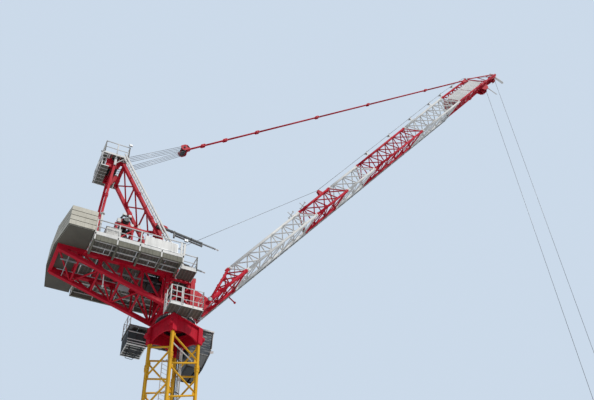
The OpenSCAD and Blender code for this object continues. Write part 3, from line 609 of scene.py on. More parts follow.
# walkway outside the far bottom chord, with an edge board on each side
W0, W1, PANELS = 420, 21000, 28
STEP = (W1 - W0) / PANELS
for j in range(PANELS):
    a = W0 + j * STEP
    k.block((a, 596, -18), (a + STEP - 26, 836, 2), 3)
k.make("jib_walkway", GRATE)
k.rail((W0 - 20, W1 + 20), [590, 842], 0, 6, 62, up=k.way(*Z))
for j in range(PANELS + 1):
    k.rail(W0 - 10 + j * STEP, (548, 846), -26, 26, 30, up=k.way(*Z))
k.make("jib_walkway_frame", WHITE)

# rope rollers and guides on the top chord
ROLLERS = (12633, 14951, 17376, 19781, 21312, 22936)
for s in ROLLERS:
    t = top_h(s)
    for y in (-40, 40):
        bracket(k, s, y, 7, 46, t + 40, 30, t + 231)
    k.block((s - 62, -52, t + 42), (s + 62, 52, t + 56), 3)
    k.rod(s, (-92, 92), t + 205, 22, 10)
    for y in (-92, 92):
        k.ball((s, y, t + 205), 60, 14, 8, 0.8)
for s in (6193, 7058):
    t = top_h(s)
    k.rod(s, (-190, 190), t + 120, 30, 10)
    k.rod(s, 0, (t + 50, t + 285), 32, 10)
    k.rod(s, [-190, 190], (t + 92, t + 160), 44, 12)
    k.block((s - 60, -60, t + 46), (s + 60, 60, t + 62), 3)
k.make("rope_rollers", WHITE)
for s in ROLLERS:
    k.wheel(s, 0, top_h(s) + 171, 46, 62, 24, groove=9)
k.make("rope_roller_wheels", GALV)
GUIDE, t = 8345, top_h(8300)
k.cheek([-46, 40], 8, 8200, t + 30, 8460, t + 30, 8400, t + 200, 8290, t + 215)
k.wheel(GUIDE, 0, t + 160, 70, 60, 26, groove=12)
k.wheel(GUIDE, 0, t + 160, 22, 120, 14)
k.make("rope_guide_lug", RED)

# the jib's foot: chords, legs to the top chord, laced sides and floor
FOOT_S, FOOT_Y, FOOT_END = 120, CHORD_Y - 110, JOINTS[0] - 0.2


def foot_leg(s, e):
    """Point on a sloping leg of the foot, from beside its pin to the top chord."""
    t = (s - FOOT_S) / (FOOT_END - FOOT_S)
    return (s, e * FOOT_Y * (1 - t), top_h(FOOT_END) * t)


LACE = ((640, 860, 1120), (1120, 1340, 1600), (1600, 1760, FOOT_END - 40))
for e in (-1, 1):
    k.tube((0, e * (CHORD_Y - 130), 0), (520, e * CHORD_Y, 0), 118, 16)
    k.ball((520, e * CHORD_Y, 0), 112, 14, 8)
    k.rod((520, FOOT_END), e * CHORD_Y, 0, 104, 16)
    k.wheel(0, e * (CHORD_Y - 130), 0, 104, 100, 36)
    k.rod(0, (e * (CHORD_Y - 190), e * (CHORD_Y + 60)), 0, 88, 20)
    k.tube(foot_leg(FOOT_S, e), foot_leg(FOOT_END, e), 82, 16)
    for a, m, b in LACE:
        k.tube((a, e * CHORD_Y, 10), foot_leg(m, e), 44, 10)
    for a, m, b in LACE:
        k.tube(foot_leg(m, e), (b, e * CHORD_Y, 10), 44, 10)
        k.disc(foot_leg(m, e), (0, e, 0), 62, 12, 8)
        for s in (a, b):
            gusset(k, s, e, 8, 74, 520, 26, 30, 482, 92)
for m in (860, 1340):
    k.tube(foot_leg(m, -1), foot_leg(m, 1), 40, 10)
k.tube(foot_leg(160, -1), foot_leg(860, 1), 34, 8)
k.tube(foot_leg(860, -1), foot_leg(1340, 1), 34, 8)
for a, b, o in ((120, 1060, 80), (1060, FOOT_END - 30, 0)):
    for e in (-1, 1):
        k.tube((a, -e * (CHORD_Y - o), -3), (b, e * CHORD_Y, -3), 40, 8)
for a, y, d in ((120, CHORD_Y - 70, 88), (1060, CHORD_Y, 44), (FOOT_END - 30, CHORD_Y, 52)):
    k.rod(a, (-y, y), 0, d, 12)
# pin fork at the top and a stub below the walkway's end
fork(FOOT_END, -1, 0, top_h(FOOT_END), 116)
k.rod(1900, (CHORD_Y, 846), -20, 40, 10)
k.rod(1900, 846, (0, -290), 46, 10)
k.wheel(1900, 846, -290, 36, 46, 16)
k.make("dressed_jib_foot", RED)

# pins, collars, gussets of the foot
for e in (-1, 1):
    for y in (CHORD_Y - 176, CHORD_Y - 84):
        k.wheel(0, e * y, 0, 112, 14, 36, hole=44)
    k.wheel(0, e * (CHORD_Y + 92), 0, 62, 14, 28)
    for s, h in circle(8, 44)[1::2]:
        k.wheel(s, e * (CHORD_Y + 101), h, 8, 10, 6)
k.make("foot_pins", GALV)
for e in (-1, 1):
    for s in (760, 1060, 1400):
        gusset(k, s, e, 9, 90, 500, 34, 40, 452, 108)
    k.plate([(60, e * 380, 60), (520, e * 500, 52), (520, e * 500, -52), (60, e * 380, -60)], 10, (0, e, 0))
    for y in (e * CHORD_Y - 34, e * CHORD_Y + 34):
        k.block((1890, y - 9, -60), (2029, y + 9, 60), 5)
    k.wheel(1970, e * CHORD_Y, 0, 26, 116, 14)
k.make("foot_gussets", RED)

# the jib's head: rope sheaves, guards, wind panels, rods, plates, pin and lamp
TIP, LOW = (26870, 0, -40), (25080, 0, -190)
for s, _, h in (TIP, LOW):
    for y in (-30, 30):
        for r, t, n, hole, groove in ((220, 50, 56, 150, 16), (156, 14, 40, 56, 0), (62, 52, 28, 0, 0)):
            k.wheel(s, y, h, r, t, n, hole, groove)
    k.rod(s, (-150, 150), h, 88, 20)
    k.wheel(s, [-158, 158], h, 60, 12, 24)
    for w in (40, 140, 240):
        k.rod(s + 236 * cos(radians(w)), (-150, 150), h + 236 * sin(radians(w)), 18, 8)
# painted shade: the sheaves take the darker copy of the red paint
k.make("dressed_head_sheaves", RED_SHADE, slot="dark_steel")
NY, NZ = 0.845, 0.535  # which way the wind panels face


def on_panel(s, e, t, o):
    """Point on a wind panel of side e, t up its slope and o off it."""
    return (s, e * (CHORD_Y - NZ * t + NY * o), NY * t + NZ * o)


for e, s in product((-1, 1), (JOINTS[5] + 40, JOINTS[5] + 1810)):
    # folded sheet: nine ribs over a frame
    for j in range(9):
        a, b = s + 8 + j * 1664 / 9, s + 8 + (j + 1) * 1664 / 9
        for u0, u1, o0, o1 in ((0, 0.42, 34, 34), (0.42, 0.5, 34, 46), (0.5, 0.92, 46, 46),
                (0.92, 1.0, 46, 34)):
            k.plate([on_panel(a + (b - a) * u, e, t, o) for u, o, t in
                     ((u0, o0, 60), (u0, o0, 735), (u1, o1, 735), (u1, o1, 60))], 4, k.way(0, e * NY, NZ))
    for t in (60, 400, 735):
        k.beam(on_panel(s, e, t, 28), on_panel(s + 1680, e, t, 28), 12, 28)
k.make("dressed_wind_panels", WHITE)
k.tube((27328, 0, 226), (27472, 0, -580), 128, 20)
k.ball((27328, 0, 226), 134, 18, 10)
k.ball((27472, 0, -580), 134, 18, 10)
k.tube((25640, 0, -180), (25760, 0, -890), 52, 14)
k.block((25600, -40, -200), (25690, 40, -90), 6)
for y in (-150, 150):
    k.tube((27190, y, 20), (27330, y * 0.2, 60), 26, 8)
k.make("head_rods", WHITE)
for e in (-1, 1):
    k.block((24250, e * 498, -70), (24420, e * 578, 70), 6)
    for s in (24700, 25370, 26150):
        y = e * (CHORD_Y - (s - 24150) * 0.101)
        k.block((s - 60, y - 26, -40), (s + 60, y + 26, 40), 6)
    # deep plates below the near and far chords that carry the lower sheave
    k.cheek(e * 196, 10 * e, 24560, 44, 24860, -300, 25230, -360, 25420, -250, 25470, 44)
    k.cheek(e * 250, 10 * e, 24480, 20, 24900, -110, 25400, -110, 25600, 20)
    k.plate([(s, e * y, h) for s, y, h in ((26000, 256, 60), (27150, 238, 60), (27190, 236, -60),
            (26900, 240, -120),
                                           (26000, 256, -60))], 8, (0, e, 0))
k.rod(25080, (-250, 250), -340, 30, 10)
k.rod(26960, (-236, 236), -110, 30, 10)
k.rod([26400, 26700], (-240, 240), 40, 30, 8)
k.make("head_plates", RED)
k.wheel(24600, 0, 850, 52, 200, 28)
k.wheel(24600, [-104, 104], 850, 70, 10, 28)
k.rod(26980, 60, (170, 330), 14, 8)
k.ball((26980, 60, 345), 54, 14, 8)
k.rod(26820, -60, (170, 290), 12, 8)
k.rod((26760, 26880), -60, 290, 10, 8)
k.make("head_pin_and_lamp", GALV)

# pendant line: round bars, knuckles where they join, the block with four sheaves
PIN = jib(24600, 0, 850)
U, L_ALL = (HEAD - PIN).normalized(), (HEAD - PIN).length
N = Vector((U.z, 0, -U.x))
L_BAR = L_ALL - 3180


def pend(t, y, h):
    """Point from the pendant line's own axes: along it, across the crane and off the line."""
    return PIN + U * t + Vector((0, y, 0)) + N * h


k = Kit(pend, "pendant")
JOINS = (0, 4041, 8951, 12660, 16372, 18137, 19272)
for a, b in zip(JOINS, JOINS[1:]):
    k.rod((a, b), [-26, 26], 0, 38, 12)
for t in JOINS[1:]:
    for y in (-60, -8, 44):
        k.cheek(y, 16, t - 110, -34, t - 70, -46, t + 70, -46, t + 110, -34, t + 110, 34, t + 70, 46,
                t - 70, 46, t - 110, 34)
    for e in (-62, 62):
        k.wheel(t + e, 0, 0, 22, 150, 18)
k.wheel(0, 0, 0, 70, 78, 36, hole=46)
k.rod((19272, L_BAR - 200), [-26, 26], 0, 38, 12)
k.block((L_BAR - 330, -74, -52), (L_BAR - 200, 74, 52), 10)
k.make("dressed_pendant_bars", RED)
k.place = lambda t, y, h: pend(L_BAR + t, y, h)
k.cheek([-190, 176], 14, -200, -70, -110, -124, 70, -124, 130, -60, 130, 60, 70, 124, -110, 124, -200, 70)
k.cheek([-90, -4, 82], 8, -190, -60, 60, -60, 60, 60, -190, 60)
k.block((-200, -190, -60), (-130, 190, 60), 8)
for t, h in ((-90, 116), (-90, -116), (110, 0)):
    k.rod(t, (-188, 188), h, 20, 10)
k.make("dressed_luffing_block", RED)
PARTS = (-1.5, -0.5, 0.5, 1.5)
for i in PARTS:
    k.wheel(0, i * 86, 0, 106, 44, 40, groove=12)
k.wheel(0, [-200, 200], 0, 40, 18, 24)
k.make("block_sheaves", DARK)
# the eight parts of the luffing rope, each from the block's sheave to the head's
k = Kit(pend, None)
for i, e in product(PARTS, (-1, 1)):
    k.tube((L_BAR, i * 86, e * 107), (L_ALL, i * 90, e * 217), 17, 8)
ob = k.make("luffing_rope_run", ROPE)
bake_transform(ob)
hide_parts("luffing_rope_a", "luffing_rope_b")
k = Kit(body=None)
TIP_X, LOW_X = jib(*TIP), jib(*LOW)
HOOK_Z, FALL = 15560, 228.3
for p in (TIP_X, LOW_X):
    k.rod(p.x + FALL, 0, (HOOK_Z - 190, p.z), 18, 10)
ob = k.make("hoist_rope_falls", ROPE)
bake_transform(ob)
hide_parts("hoist_ropes")
# the rope over the rollers to the sheave at the tip, and the one from the deck to its guide
START = (GUIDE, 0, top_h(GUIDE) + 232)
k = Kit(jib, "jib")
k.pipe([START, *((s, 0, top_h(s) + 218) for s in ROLLERS), (24600, 0, 1010), (26840, 0, 188)], 18, 8)
k.make("hoist_rope_over_jib", ROPE)
k, g = Kit(body=None), jib(*START)
k.tube((-1480, 0, 16420), g, 15, 8)
ob = k.make("hoist_rope_to_jib", ROPE)
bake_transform(ob)

# hook block: cheeks, grooved sheaves, swivel and hook, about its own middle
XB, XC = LOW_X.x + 406.6, TIP_X.x + 50
MX, D = (XB + XC) / 2, (XC - XB) / 2
k = Kit(lambda x, y, z: Vector((MX + x, y, HOOK_Z + z)), "hook")
for x in (-D, D):
    k.wheel(x, [-24, 24], -190, 170, 38, 44, groove=12)
    k.wheel(x, 0, -190, 46, 156, 26)
k.rod(0, 0, (-640, -430), 84, 24)
k.disc((0, 0, -520), Z, 66, 30, 30)
k.disc((0, 0, -640), Z, 56, 34, 24)
BENDS = 24
bow = [radians(92 - 270 * j / BENDS) for j in range(BENDS + 1)]
pts = [(105 * cos(w), 0, -770 + 105 * sin(w)) for w in bow]
thick = [58 + 34 * sin(pi * min(1, j / BENDS * 1.15)) * (1 - 0.5 * j / BENDS) for j in range(BENDS + 1)]
for a, b, d0, d1 in zip(pts, pts[1:], thick, thick[1:]):
    k.tube(a, b, d0, 16, d2=d1)
    k.ball(b, d1, 14, 8)
k.beam((92, 0, -700), (-78, 0, -742), 10, 24)
k.make("dressed_hook_block", DARK)
for y in (-78, 66):
    k.cheek(y, 12, -D - 120, -290, -D - 150, -130, -D - 60, -60, D + 60, -60, D + 150, -130, D + 120, -290,
            150, -360,
            130, -520, -130, -520, -150, -360)
for x, z in ((-D - 100, -110), (D + 100, -110), (0, -300)):
    k.rod(x, (-70, 70), z, 24, 10)
k.make("hook_block_cheeks", YELLOW)

# slewing part: drives, bolts, gussets and cable loom
k = Kit()
for x, y in ((-330, 350), (-330, -350)):
    k.rod(x, y, (14690, 15150), 190, 24)
    k.rod(x, y, (15150, 15420), 140, 24)
    k.disc((x, y, 14900), Z, 118, 26, 28)
    k.disc((x, y, 15150), Z, 108, 22, 28)
    for c, s in circle(14):
        k.block((x + 68 * c - 4, y + 68 * s - 4, 15180), (x + 82 * c + 4, y + 82 * s + 4, 15390), 1)
    k.disc((x, y, 15430), Z, 76, 26, 24)
k.make("slewing_drives", GREY)
for e in (-1, 1):
    k.wheel(812, e * 640, 15425, 74, 14, 30)
    for q, z in product((-1, 0, 1), (14980, 15200, 15420, 15640)):
        k.disc((-556 + 30 * q, e * 616, z), (0, e, 0), 10, 8, 6)
        k.disc((250 + 34 * q, e * 629, z), (0, e, 0), 10, 8, 6)
k.make("turret_bolts", GALV)
for e in (-1, 1):
    for (z, u), (x, s) in product(((14790, 1), (15840, -1)), ((-516, 1), (210, -1))):
        k.cheek(e * 562 - 5, 10, x, z, x + s * 170, z + u * 90, x, z + u * 230)
    k.rail((-500, 200), e * 500, 15340, 50, 50)
    for x in (300, 520):
        k.beam((x, e * 582, 15000), (x + 120, e * 582, 15520), 12, 46, up=Y)
k.block((-620, -430, 14890), (520, 430, 14902), 2)
k.make("turret_gussets", RED)
for i in range(4):
    y = -120 + 46 * i
    k.pipe([(-380, y, 15640), (-200, y, 15460 - 20 * i), (-60, y, 15060), (0, y * 0.6, 14700),
            (0, y * 0.5, 14480)], 24, 8)
k.block((-120, 180, 14905), (240, 440, 15320), 12)
k.block((-80, 176, 14980), (200, 182, 15260), 2)
k.make("turret_looms", DARK)

# small platform at the turret with its gate
TZ = 14545
floor_panels(k, -560, 460, -1104, -640, TZ + 4, 24, 3)
k.make("turret_platform_floor", GRATE)
k.rail([-556, -215, 125, 452], (-1110, -640), TZ - 12, 28, 34)
k.make("turret_platform_bearers", GREY)
z = TZ + 28
k.rail((-560, 460), -1112, TZ + 36, 8, 88)
k.rail([-556, 456], (-1112, -640), TZ + 36, 8, 88)
for x0, x1, y1, n in ((-170, 448, -1108, 2), (448, 448, -652, 1), (-548, -548, -652, 1)):
    handrail(k, (x0, -1108, z), (x1, y1, z), n, 640, 24, 3)
k.rod([-540, -210], -1110, (z, z + 655), 34, 12)
for h in (70, 250, 450, 650):
    k.rod((-540, -210), -1110, z + h, 28, 12)
k.rod(-375, -1110, (z + 70, z + 650), 20, 10)
for x, y in ((-556, -615), (250, -628)):
    k.block((x - 20, -700, TZ), (x + 20, -652, 14880), 4)
    k.block((x - 20, -700, 14820), (x + 20, y, 14880), 4)
k.make("dressed_turret_platform", WHITE)
# short ladder beside the turret platform
k.rod(-640, [-1060, -860], (14300, 15020), 24, 10)
for j in range(5):
    k.rod(-640, (-1060, -860), 14340 + 120 * j, 16, 8)
k.rail((-640, -556), [-1060, -860], 14570, 20, 20)
k.make("turret_step_ladder", WHITE)

# operator's cab: its two side walls, outline, and height of the window sills
C0, C1, SILL = 700, 1560, 14375
OUTLINE = [(660, 13820), (1130, 13820), (1380, 14500), (1450, 15230), (660, 15230)]
for y in (C0 + 14, C1 - 14):
    for (xa, za), (xb, zb) in zip(OUTLINE, OUTLINE[1:] + OUTLINE[:1]):
        k.tube((xa, y, za), (xb, y, zb), 50, 12)
    for x, z in OUTLINE:
        k.ball((x, y, z), 52, 12, 7)
    # side posts and rails around the windows and the door
    k.rail(1010, y, (13830, 15220), 34, 40, up=Y)
    k.rail((670, 1330), y, 14350, 34, 40)
    k.rail((700, 1430), y, 15130, 30, 34)
for x, z in OUTLINE:
    k.rod(x, (C0 + 14, C1 - 14), z, 50, 12)
for x, z in ((1255, 14160), (1012, 13826)):
    k.rod(x, (C0 + 14, C1 - 14), z, 34, 10)
k.make("dressed_cabin", DARK)
S0, S1 = C0 + 30, C1 - 30
for y, t in ((C0 + 6, 8), (C1 - 6, -8)):
    k.cheek(y, t, 685, 13850, 1000, 13850, 1000, 14330, 685, 14330)
    k.cheek(y, t, 1024, 13870, 1120, 13870, 1290, 14330, 1024, 14330)
k.plate([(668, S0, 13840), (668, S1, 13840), (668, S1, 15210), (668, S0, 15210)], 10, X)
k.plate([(690, S0, 13818), (960, S0, 13818), (960, S1, 13818), (690, S1, 13818)], 10, Z)
k.block((560, 900, 14420), (664, 1330, 14840), 14)
for j in range(6):
    k.block((552, 930, 14470 + j * 58), (562, 1300, 14500 + j * 58), 2)
k.make("cab_panels", SLATE)
S0, S1 = C0 - 18, C1 + 18
k.plate([(640, S0, 15236), (1480, S0, 15236), (1480, S1, 15236), (640, S1, 15236)], 40, Z)
for y in (C0 - 14, C1 + 6):
    k.rail((650, 1470), y, 15246, 14, 44)
k.block((700, 900, 15276), (1060, 1360, 15420), 18)
for j in range(5):
    k.block((740 + j * 60, 930, 15416), (770 + j * 60, 1330, 15428), 2)
for y in (C0 - 24, C1 + 24):
    k.pipe([(1360, y, 14540), (1410, y, 14600), (1440, y, 15140), (1420, y, 15180)], 20, 8)
k.beam((1300, C0 + 40, 14470), (1460, C0 - 60, 14470), 8, 90)
k.make("cab_roof_and_trim", WHITE)
S0, S1 = C0 + 44, C1 - 44
for xa, za, xb, zb in ((1145, 13870, 1365, 14470), (1385, 14530, 1442, 15100)):
    for y0, y1 in ((S0, 1122), (1138, S1)):
        k.plate([(xa, y0, za), (xa, y1, za), (xb, y1, zb), (xb, y0, zb)], 7, (zb - za, 0, xa - xb))
for y in (C0 + 10, C1 - 17):
    k.cheek(y, 7, 700, SILL, 990, SILL, 990, 15105, 700, 15105)
    k.cheek(y, 7, 1034, SILL, 1318, SILL, 1366, 14520, 1420, 15105, 1034, 15105)
k.plate([(1028, S0, 13822), (1118, S0, 13822), (1118, S1, 13822), (1028, S1, 13822)], 7, Z)
k.make("dressed_cabin_glass", GLASS)
for y in (940, 1320):
    k.tube((1150, y, 13860), (1330, y + 90, 14330), 12, 8)
    k.tube((1310, y + 40, 14300), (1386, y + 130, 14460), 9, 6)
    k.block((1120, y - 30, 13840), (1170, y + 30, 13880), 6)
# seat, console and levers behind the panes
k.block((830, 1000, 14130), (1060, 1260, 14210), 20)
k.beam((850, 1130, 14190), (790, 1130, 14700), 240, 60, up=Y)
for y in (900, 1280):
    k.block((1000, y, 14150), (1120, y + 80, 14330), 12)
for y in (940, 1320):
    k.tube((1070, y, 14330), (1085, y, 14450), 12, 8)
    k.ball((1086, y, 14460), 34, 12, 7)
k.rod(900, 1130, (13830, 14140), 70, 14)
for z in (14060, 14820):
    k.block((1024, C0 - 12, z), (1052, C0 + 6, z + 60), 3)
k.make("cab_fittings", DARK)

# walkway along the cab and the switch cabinet under it
CBZ = 14760
floor_panels(k, -1230, 640, 632, 1500, CBZ + 8, 26, 6)
k.make("cab_walkway_floor", GRATE)
for x, y in ((-590, 562.5), (-50, 562.5), (440, 562.5), (-1180, 632)):
    k.block((x, y, CBZ - 60), (x + 70, 1500, CBZ + 6), 5)
k.rail((-1230, 640), [640, 1060, 1490], CBZ - 16, 36, 44)
k.make("dressed_cab_walkway", GREY)
for a, b, n in (((-1210, 1482), (600, 1482), 5), ((-1214, 660), (-1214, 1482), 2)):
    handrail(k, (*a, CBZ + 34), (*b, CBZ + 34), n, 540, 24, 2, toe=80)
k.make("cab_walkway_rails", WHITE)
X0, X1, Y0, Y1, Z0, Z1 = -1216, -624, 764, 1456, 14194, 14696
k.block((X0, Y0, Z0), (X1, Y1, Z1), 10)
for x in (X0 + 16, (X0 + X1) / 2 + 8):
    w = (X1 - X0) / 2 - 24
    k.block((x, Y0 - 12, Z0 + 20), (x + w, Y0 + 2, Z1 - 20), 4)
    for j in range(9):
        z = Z0 + 66 + j * 34
        k.plate([(x + a, Y0 - 12 - b, z + c) for a, b,
                c in ((40, 0, 0), (w - 40, 0, 0), (w - 40, 12, 20), (40, 12, 20))],
                3, (0, -1, -0.3))
    k.block((x + w - 30, Y0 - 26, Z0 + 230), (x + w - 14, Y0 - 10, Z0 + 300), 3)
    for z in (Z0 + 60, Z1 - 90):
        k.rod(x + 4, Y0 - 14, (z, z + 40), 14, 8)
for y in (Y0 + 40, Y1 - 60):
    k.block((X0 - 8, y, Z0 - 26), (X1 + 8, y + 24, Z0 + 6), 3)
for j in range(5):
    k.block((X0 - 10, Y0 + 80, Z0 + 80 + j * 70), (X0 + 2, Y1 - 80, Z0 + 110 + j * 70), 3)
k.make("dressed_electric_cabinet", SLATE)
for y, w in ((772, 27), (880, 9), (1010, 9), (1230, 9), (1350, 9), (1436, 22)):
    k.block((-1222, y - w, 14172), (-618, y + w, 14192), 4)
for z in (14230, 14330, 14600):
    k.block((X0, 736, z), (X1, 750, z + 26), 3)
for x in (X0, -650):
    k.block((x, 752, 14176), (x + 26, Y1, 14192), 3)
k.make("cabinet_slats", WHITE)
for j in range(6):
    x, y = X0 + 120, Y0 + 120 + j * 80
    k.rod(x, y, (Z0 - 30, Z0 + 10), 34, 12)
    k.pipe([(x, y, Z0 - 20), (x + 10, y, Z0 - 110 - 12 * j), (x + 210, y - 20, Z0 - 150 - 10 * j),
            (-420, 620 + 14 * j, 14440), (-300, 380, 14620)], 18, 8)
k.make("cabinet_cables", DARK)

# counter-jib: gussets, pins and light fittings on its side trusses
k = Kit()
RX, LX, LZ, CZ = -3840, -556, 14875, 15985
SLOPE = (CZ - 60 - LZ) / (RX - LX)
for e in (-1, 1):
    y = e * 562 - 6
    for j in range(1, 6):
        x = RX + (-676 - RX) * j / 5
        z = LZ + (x - LX) * SLOPE
        k.cheek(y, 12, x - 120, CZ - 62, x + 70, CZ - 62, x + 40, CZ - 160, x - 60, CZ - 170)
        k.cheek(y, 12, x - 90, z + 78, x + 100, z + 28, x + 50, z + 150, x - 40, z + 170)
        for o in (-30, -4, 22):
            k.wheel(x + o, e * 570, CZ - 96, 8, 10, 6)
    for x in (-3300, -2200, -1100):
        k.block((x - 9, e * 500, 15926), (x + 9, e * 627, 16046), 3)
k.make("counter_jib_gussets", RED)
k.rail([-3500, -2500, -1500], (-490, 490), 15800, 20, 30)
k.rod((-3700, -500), [-250, -210, 240], 15826, 26, 10)
k.block((-1900, 60, 15640), (-1500, 300, 15790), 10)
k.make("under_deck_pipes", GALV)
k.block((-1160, -240, 16034), (-490, 240, 16052), 3)
k.rail([-1150, -820, -500], (-496, 496), 16024, 40, 30)
k.rail((-1155, -495), [-150, 0, 150], 16027, 20, 18)
k.block((-1020, -190, 15760), (-640, 170, 16020), 14)
k.rod(-830, (-190, -300), 15880, 170, 24)
k.make("well_hatch_and_pump", DARK)
k.tube((-2440, -520, 15480), (-2412, -520, 15010), 34, 12)
k.ball((-2411, -520, 14990), 74, 14, 8)
k.rail(-2440, (-562, -480), 15480, 40, 40)
k.make("under_deck_lamp", WHITE)


def above(base):
    """Places points at heights counted from base."""
    return lambda x, y, z: Vector((x, y, base + z))


# deck: gratings, white edge frames, cross bearers
k.place = above(16050)
for size in ((-3040, -350, -1420, -632, 6, 26, 6), (-340, 160, -1180, -660, -196, 24, 1),
             (-3040, -350, 632, 1420, 6, 26, 6), (-340, 160, 660, 1180, -196, 24, 1),
             (-3040, -1150, -630, 630, 6, 26, 5), (-500, 330, -620, 620, 6, 26, 2),
             (-1150, -500, -620, -234, 6, 26, 2), (-1150, -500, 234, 620, 6, 26, 2)):
    floor_panels(k, *size)
k.make("dressed_deck_floor", GRATE, slot="grey_steel")
for e in (-1, 1):
    k.block((-3044, e * 1429, -16), (-346, e * 1438, 118), 3)
    k.rail((-3044, -346), e * 1410, -14, 46, 7)
    for i in range(5):
        x = -3020 + 662.5 * i
        k.block((x - 19, e * 1424, -196), (x + 19, e * 1438, 60), 3)
        k.beam((x, e * 1424, -186), (x + 3, e * 1240, -60), 18, 18)
    for bay in ((-2990, -2430), (-2290, -1700), (-1610, -1020), (-945, -385)):
        for y in (700, 1360):
            k.rail(bay, e * y, -44, 12, 26)
        for x in bay:
            k.rail(x, (e * 700, e * 1360), -44, 12, 26)
    k.rail([-3040, -350], (e * 632, e * 1430), -20, 8, 100)
    for y in (900, 1160):
        k.rail((-3030, -360), e * y, -10, 26, 30)
    k.rail([-345, 156], (e * 655, e * 1188), -182, 8, 60)
    k.rail((-349, 160), e * 1186, -182, 8, 60)
    k.rail([-318, 134], (e * 628, e * 700), -145, 46, 96)
for x, y in ((-3040, 430), (326, 620)):
    k.rail(x, (-y, y), 20, 8, 90)
k.make("deck_edge_frames", WHITE)
for e in (-1, 1):
    k.block((-3040, e * 1413, -198), (-350, e * 1427, -18), 3)
    k.rail(range(-2960, -350, 110), e * 1430, (-192, -24), 8, 12)
    k.rail((-3040, -350), e * 1396, -192, 44, 8)
    for x in (-3000, -2300, -1620, -960, -390):
        k.plate([(x + a, e * y, z) for a, y, z in ((-30, 628, -128), (30, 628, -128), (30, 1420, -60), (-30,
                1420, -60))],
                6, Z)
        k.plate([(x - 4, e * y, z) for y, z in ((628, -126), (628, 4), (1420, 4), (1420, -58))], 8, X)
        k.rail(x, (e * 628, e * 1420), 0, 60, 7)
k.rail([-2700, -2350, -1950, -1600, -1250, -300, 60], (-496, 496), -24, 44, 52)
k.make("deck_bearers", OLIVE)
k.place = plain
LOWER = 15878  # floor of the lower step in front
for e in (-1, 1):
    handrail(k, (-3020, e * 1413, FT), (-370, e * 1413, FT), 4, d=34)
    handrail(k, (-3020, e * 1413, FT), (-3020, e * 640, FT), 2, d=32)
    handrail(k, (-330, e * 1175, LOWER), (145, e * 1175, LOWER), 1, d=34, toe=90, post=46)
    handrail(k, (145, e * 1175, LOWER), (145, e * 722, LOWER), 1, d=34, toe=90, post=46)
# broad flat posts at the near front corner
for x in (-480, -385):
    k.block((x, -1446, 16110), (x + 62, -1432, 16600), 3)
k.make("dressed_deck_railing", WHITE)
# bare sign board on the near railing
X0, X1, Z0, Z1 = -1575, -570, 16150, 16480
k.block((X0, -1446, Z0), (X1, -1434, Z1), 4)
for x in (X0 + 140, (X0 + X1) / 2, X1 - 140):
    k.rail(x, -1432, (Z0 - 10, Z1 + 10), 24, 14)
k.make("sign_board_blank", WHITE)
for x in (X0, X1):
    k.rail(x, -1441, (Z0, Z1), 14, 18)
for z in (Z0, Z1):
    k.rail((X0 - 6, X1 + 6), -1441, z, 18, 14)
k.make("sign_board_rim", GALV)

# machinery on the deck: the luffing winch about its own axis
WX, WZ = -2050, FT + 330
k.place = lambda x, y, z: Vector((WX + x, y, WZ + z))
for j in range(28):
    k.wheel(0, -322 + j * 23.8, 0, 182 if j % 2 else 176, 23, 40)
k.make("winch_rope_layers", ROPE)
for y in (-350, 350):
    k.wheel(0, y, 0, 262, 26, 56)
    for x, z in circle(12, 190):
        k.rod(x, (y - 15, y + 15), z, 30, 10)
for y in (-400, 400):
    bracket(k, 0, y - 18, 36, 260, -330, 150, 110)
    k.wheel(0, y, 0, 110, 70, 32)
k.rod(0, (-640, -430), 0, 300, 30)
for j in range(7):
    k.wheel(0, -620 + j * 28, 0, 158, 10, 32)
k.block((-120, -630, -330), (120, -450, -150), 10)
k.wheel(0, 452, 0, 200, 34, 40)
k.wheel(0, 500, 0, 120, 60, 32)
k.block((-40, 470, 120), (40, 530, 250), 8)
k.rail((-300, 300), [-430, 430], -314, 60, 32)
k.make("dressed_winch", DARK, "luffing_winch")
k.place = plain
k.wheel(-1480, 0, 16405, 78, 40, 34, groove=12)
k.wheel(-1480, 0, 16405, 24, 120, 16)
for y in (-36, 26):
    bracket(k, -1480, y, 10, 80, FT, 35, 16440)
k.block((-1580, -60, FT), (-1380, 60, FT + 12), 3)
# painted shade: the guide sheave takes the darker copy of the red paint
k.make("deck_guide_sheave", RED_SHADE, slot="red_paint")
k.tube((-1497, 0, 16480), (WX + 60, 0, WZ + 172), 15, 8)
k.make("hoist_rope_on_deck", ROPE)
k.place = above(FT)
for x0, y0, x1, y1, h, n in ((-2700, -1150, -2250, -820, 620, 2), (-1700, 700, -900, 1180, 560, 3)):
    k.block((x0, y0, 30), (x1, y1, h), 14)
    k.block((x0 - 12, y0 - 12, h), (x1 + 12, y1 + 12, h + 18), 5)
    k.rail((x0 + 10, x1 - 10), (y0 + y1) / 2, 15, y1 - y0 - 40, 30)
    for j in range(n):
        a, b = (x0 + 14 + (x1 - x0 - 28) * i / n for i in (j, j + 1))
        for y, e in ((y0, -1), (y1, 1)):
            k.block((a, y, 60), (b - 10, y + e * 10, h - 30), 3)
            for z in range(h - 190, h - 70, 24):
                k.block((a + 30, y + e * 8, z), (b - 40, y + e * 15, z + 12), 1)
x, y = -2915, -1315
k.rod(x, y, (0, 900), 64, 16)
k.block((x - 45, y - 45, 0), (x + 45, y + 45, 14), 4)
k.disc((x, y, 905), Z, 66, 20, 26)
k.rod(x, y, (910, 955), 96, 18, d2=40)
k.make("dressed_deck_cabinets", WHITE, "deck_cabinet")
for x, z, r in ((-2120, 200, 120), (-1800, 150, 90)):
    k.wheel(x, -1130, z, r, 240, 30)
    k.wheel(x, -1130, z, r + 34, 18, 34)
    k.block((x - r, -1230, 0), (x + r, -1030, 60), 8)
k.block((-2180, 820, 0), (-1820, 1200, 430), 16)
for z in range(90, 341, 50):
    k.block((-2184, 850, z), (-2176, 1170, z + 22), 1)
k.make("deck_machines", DARK)
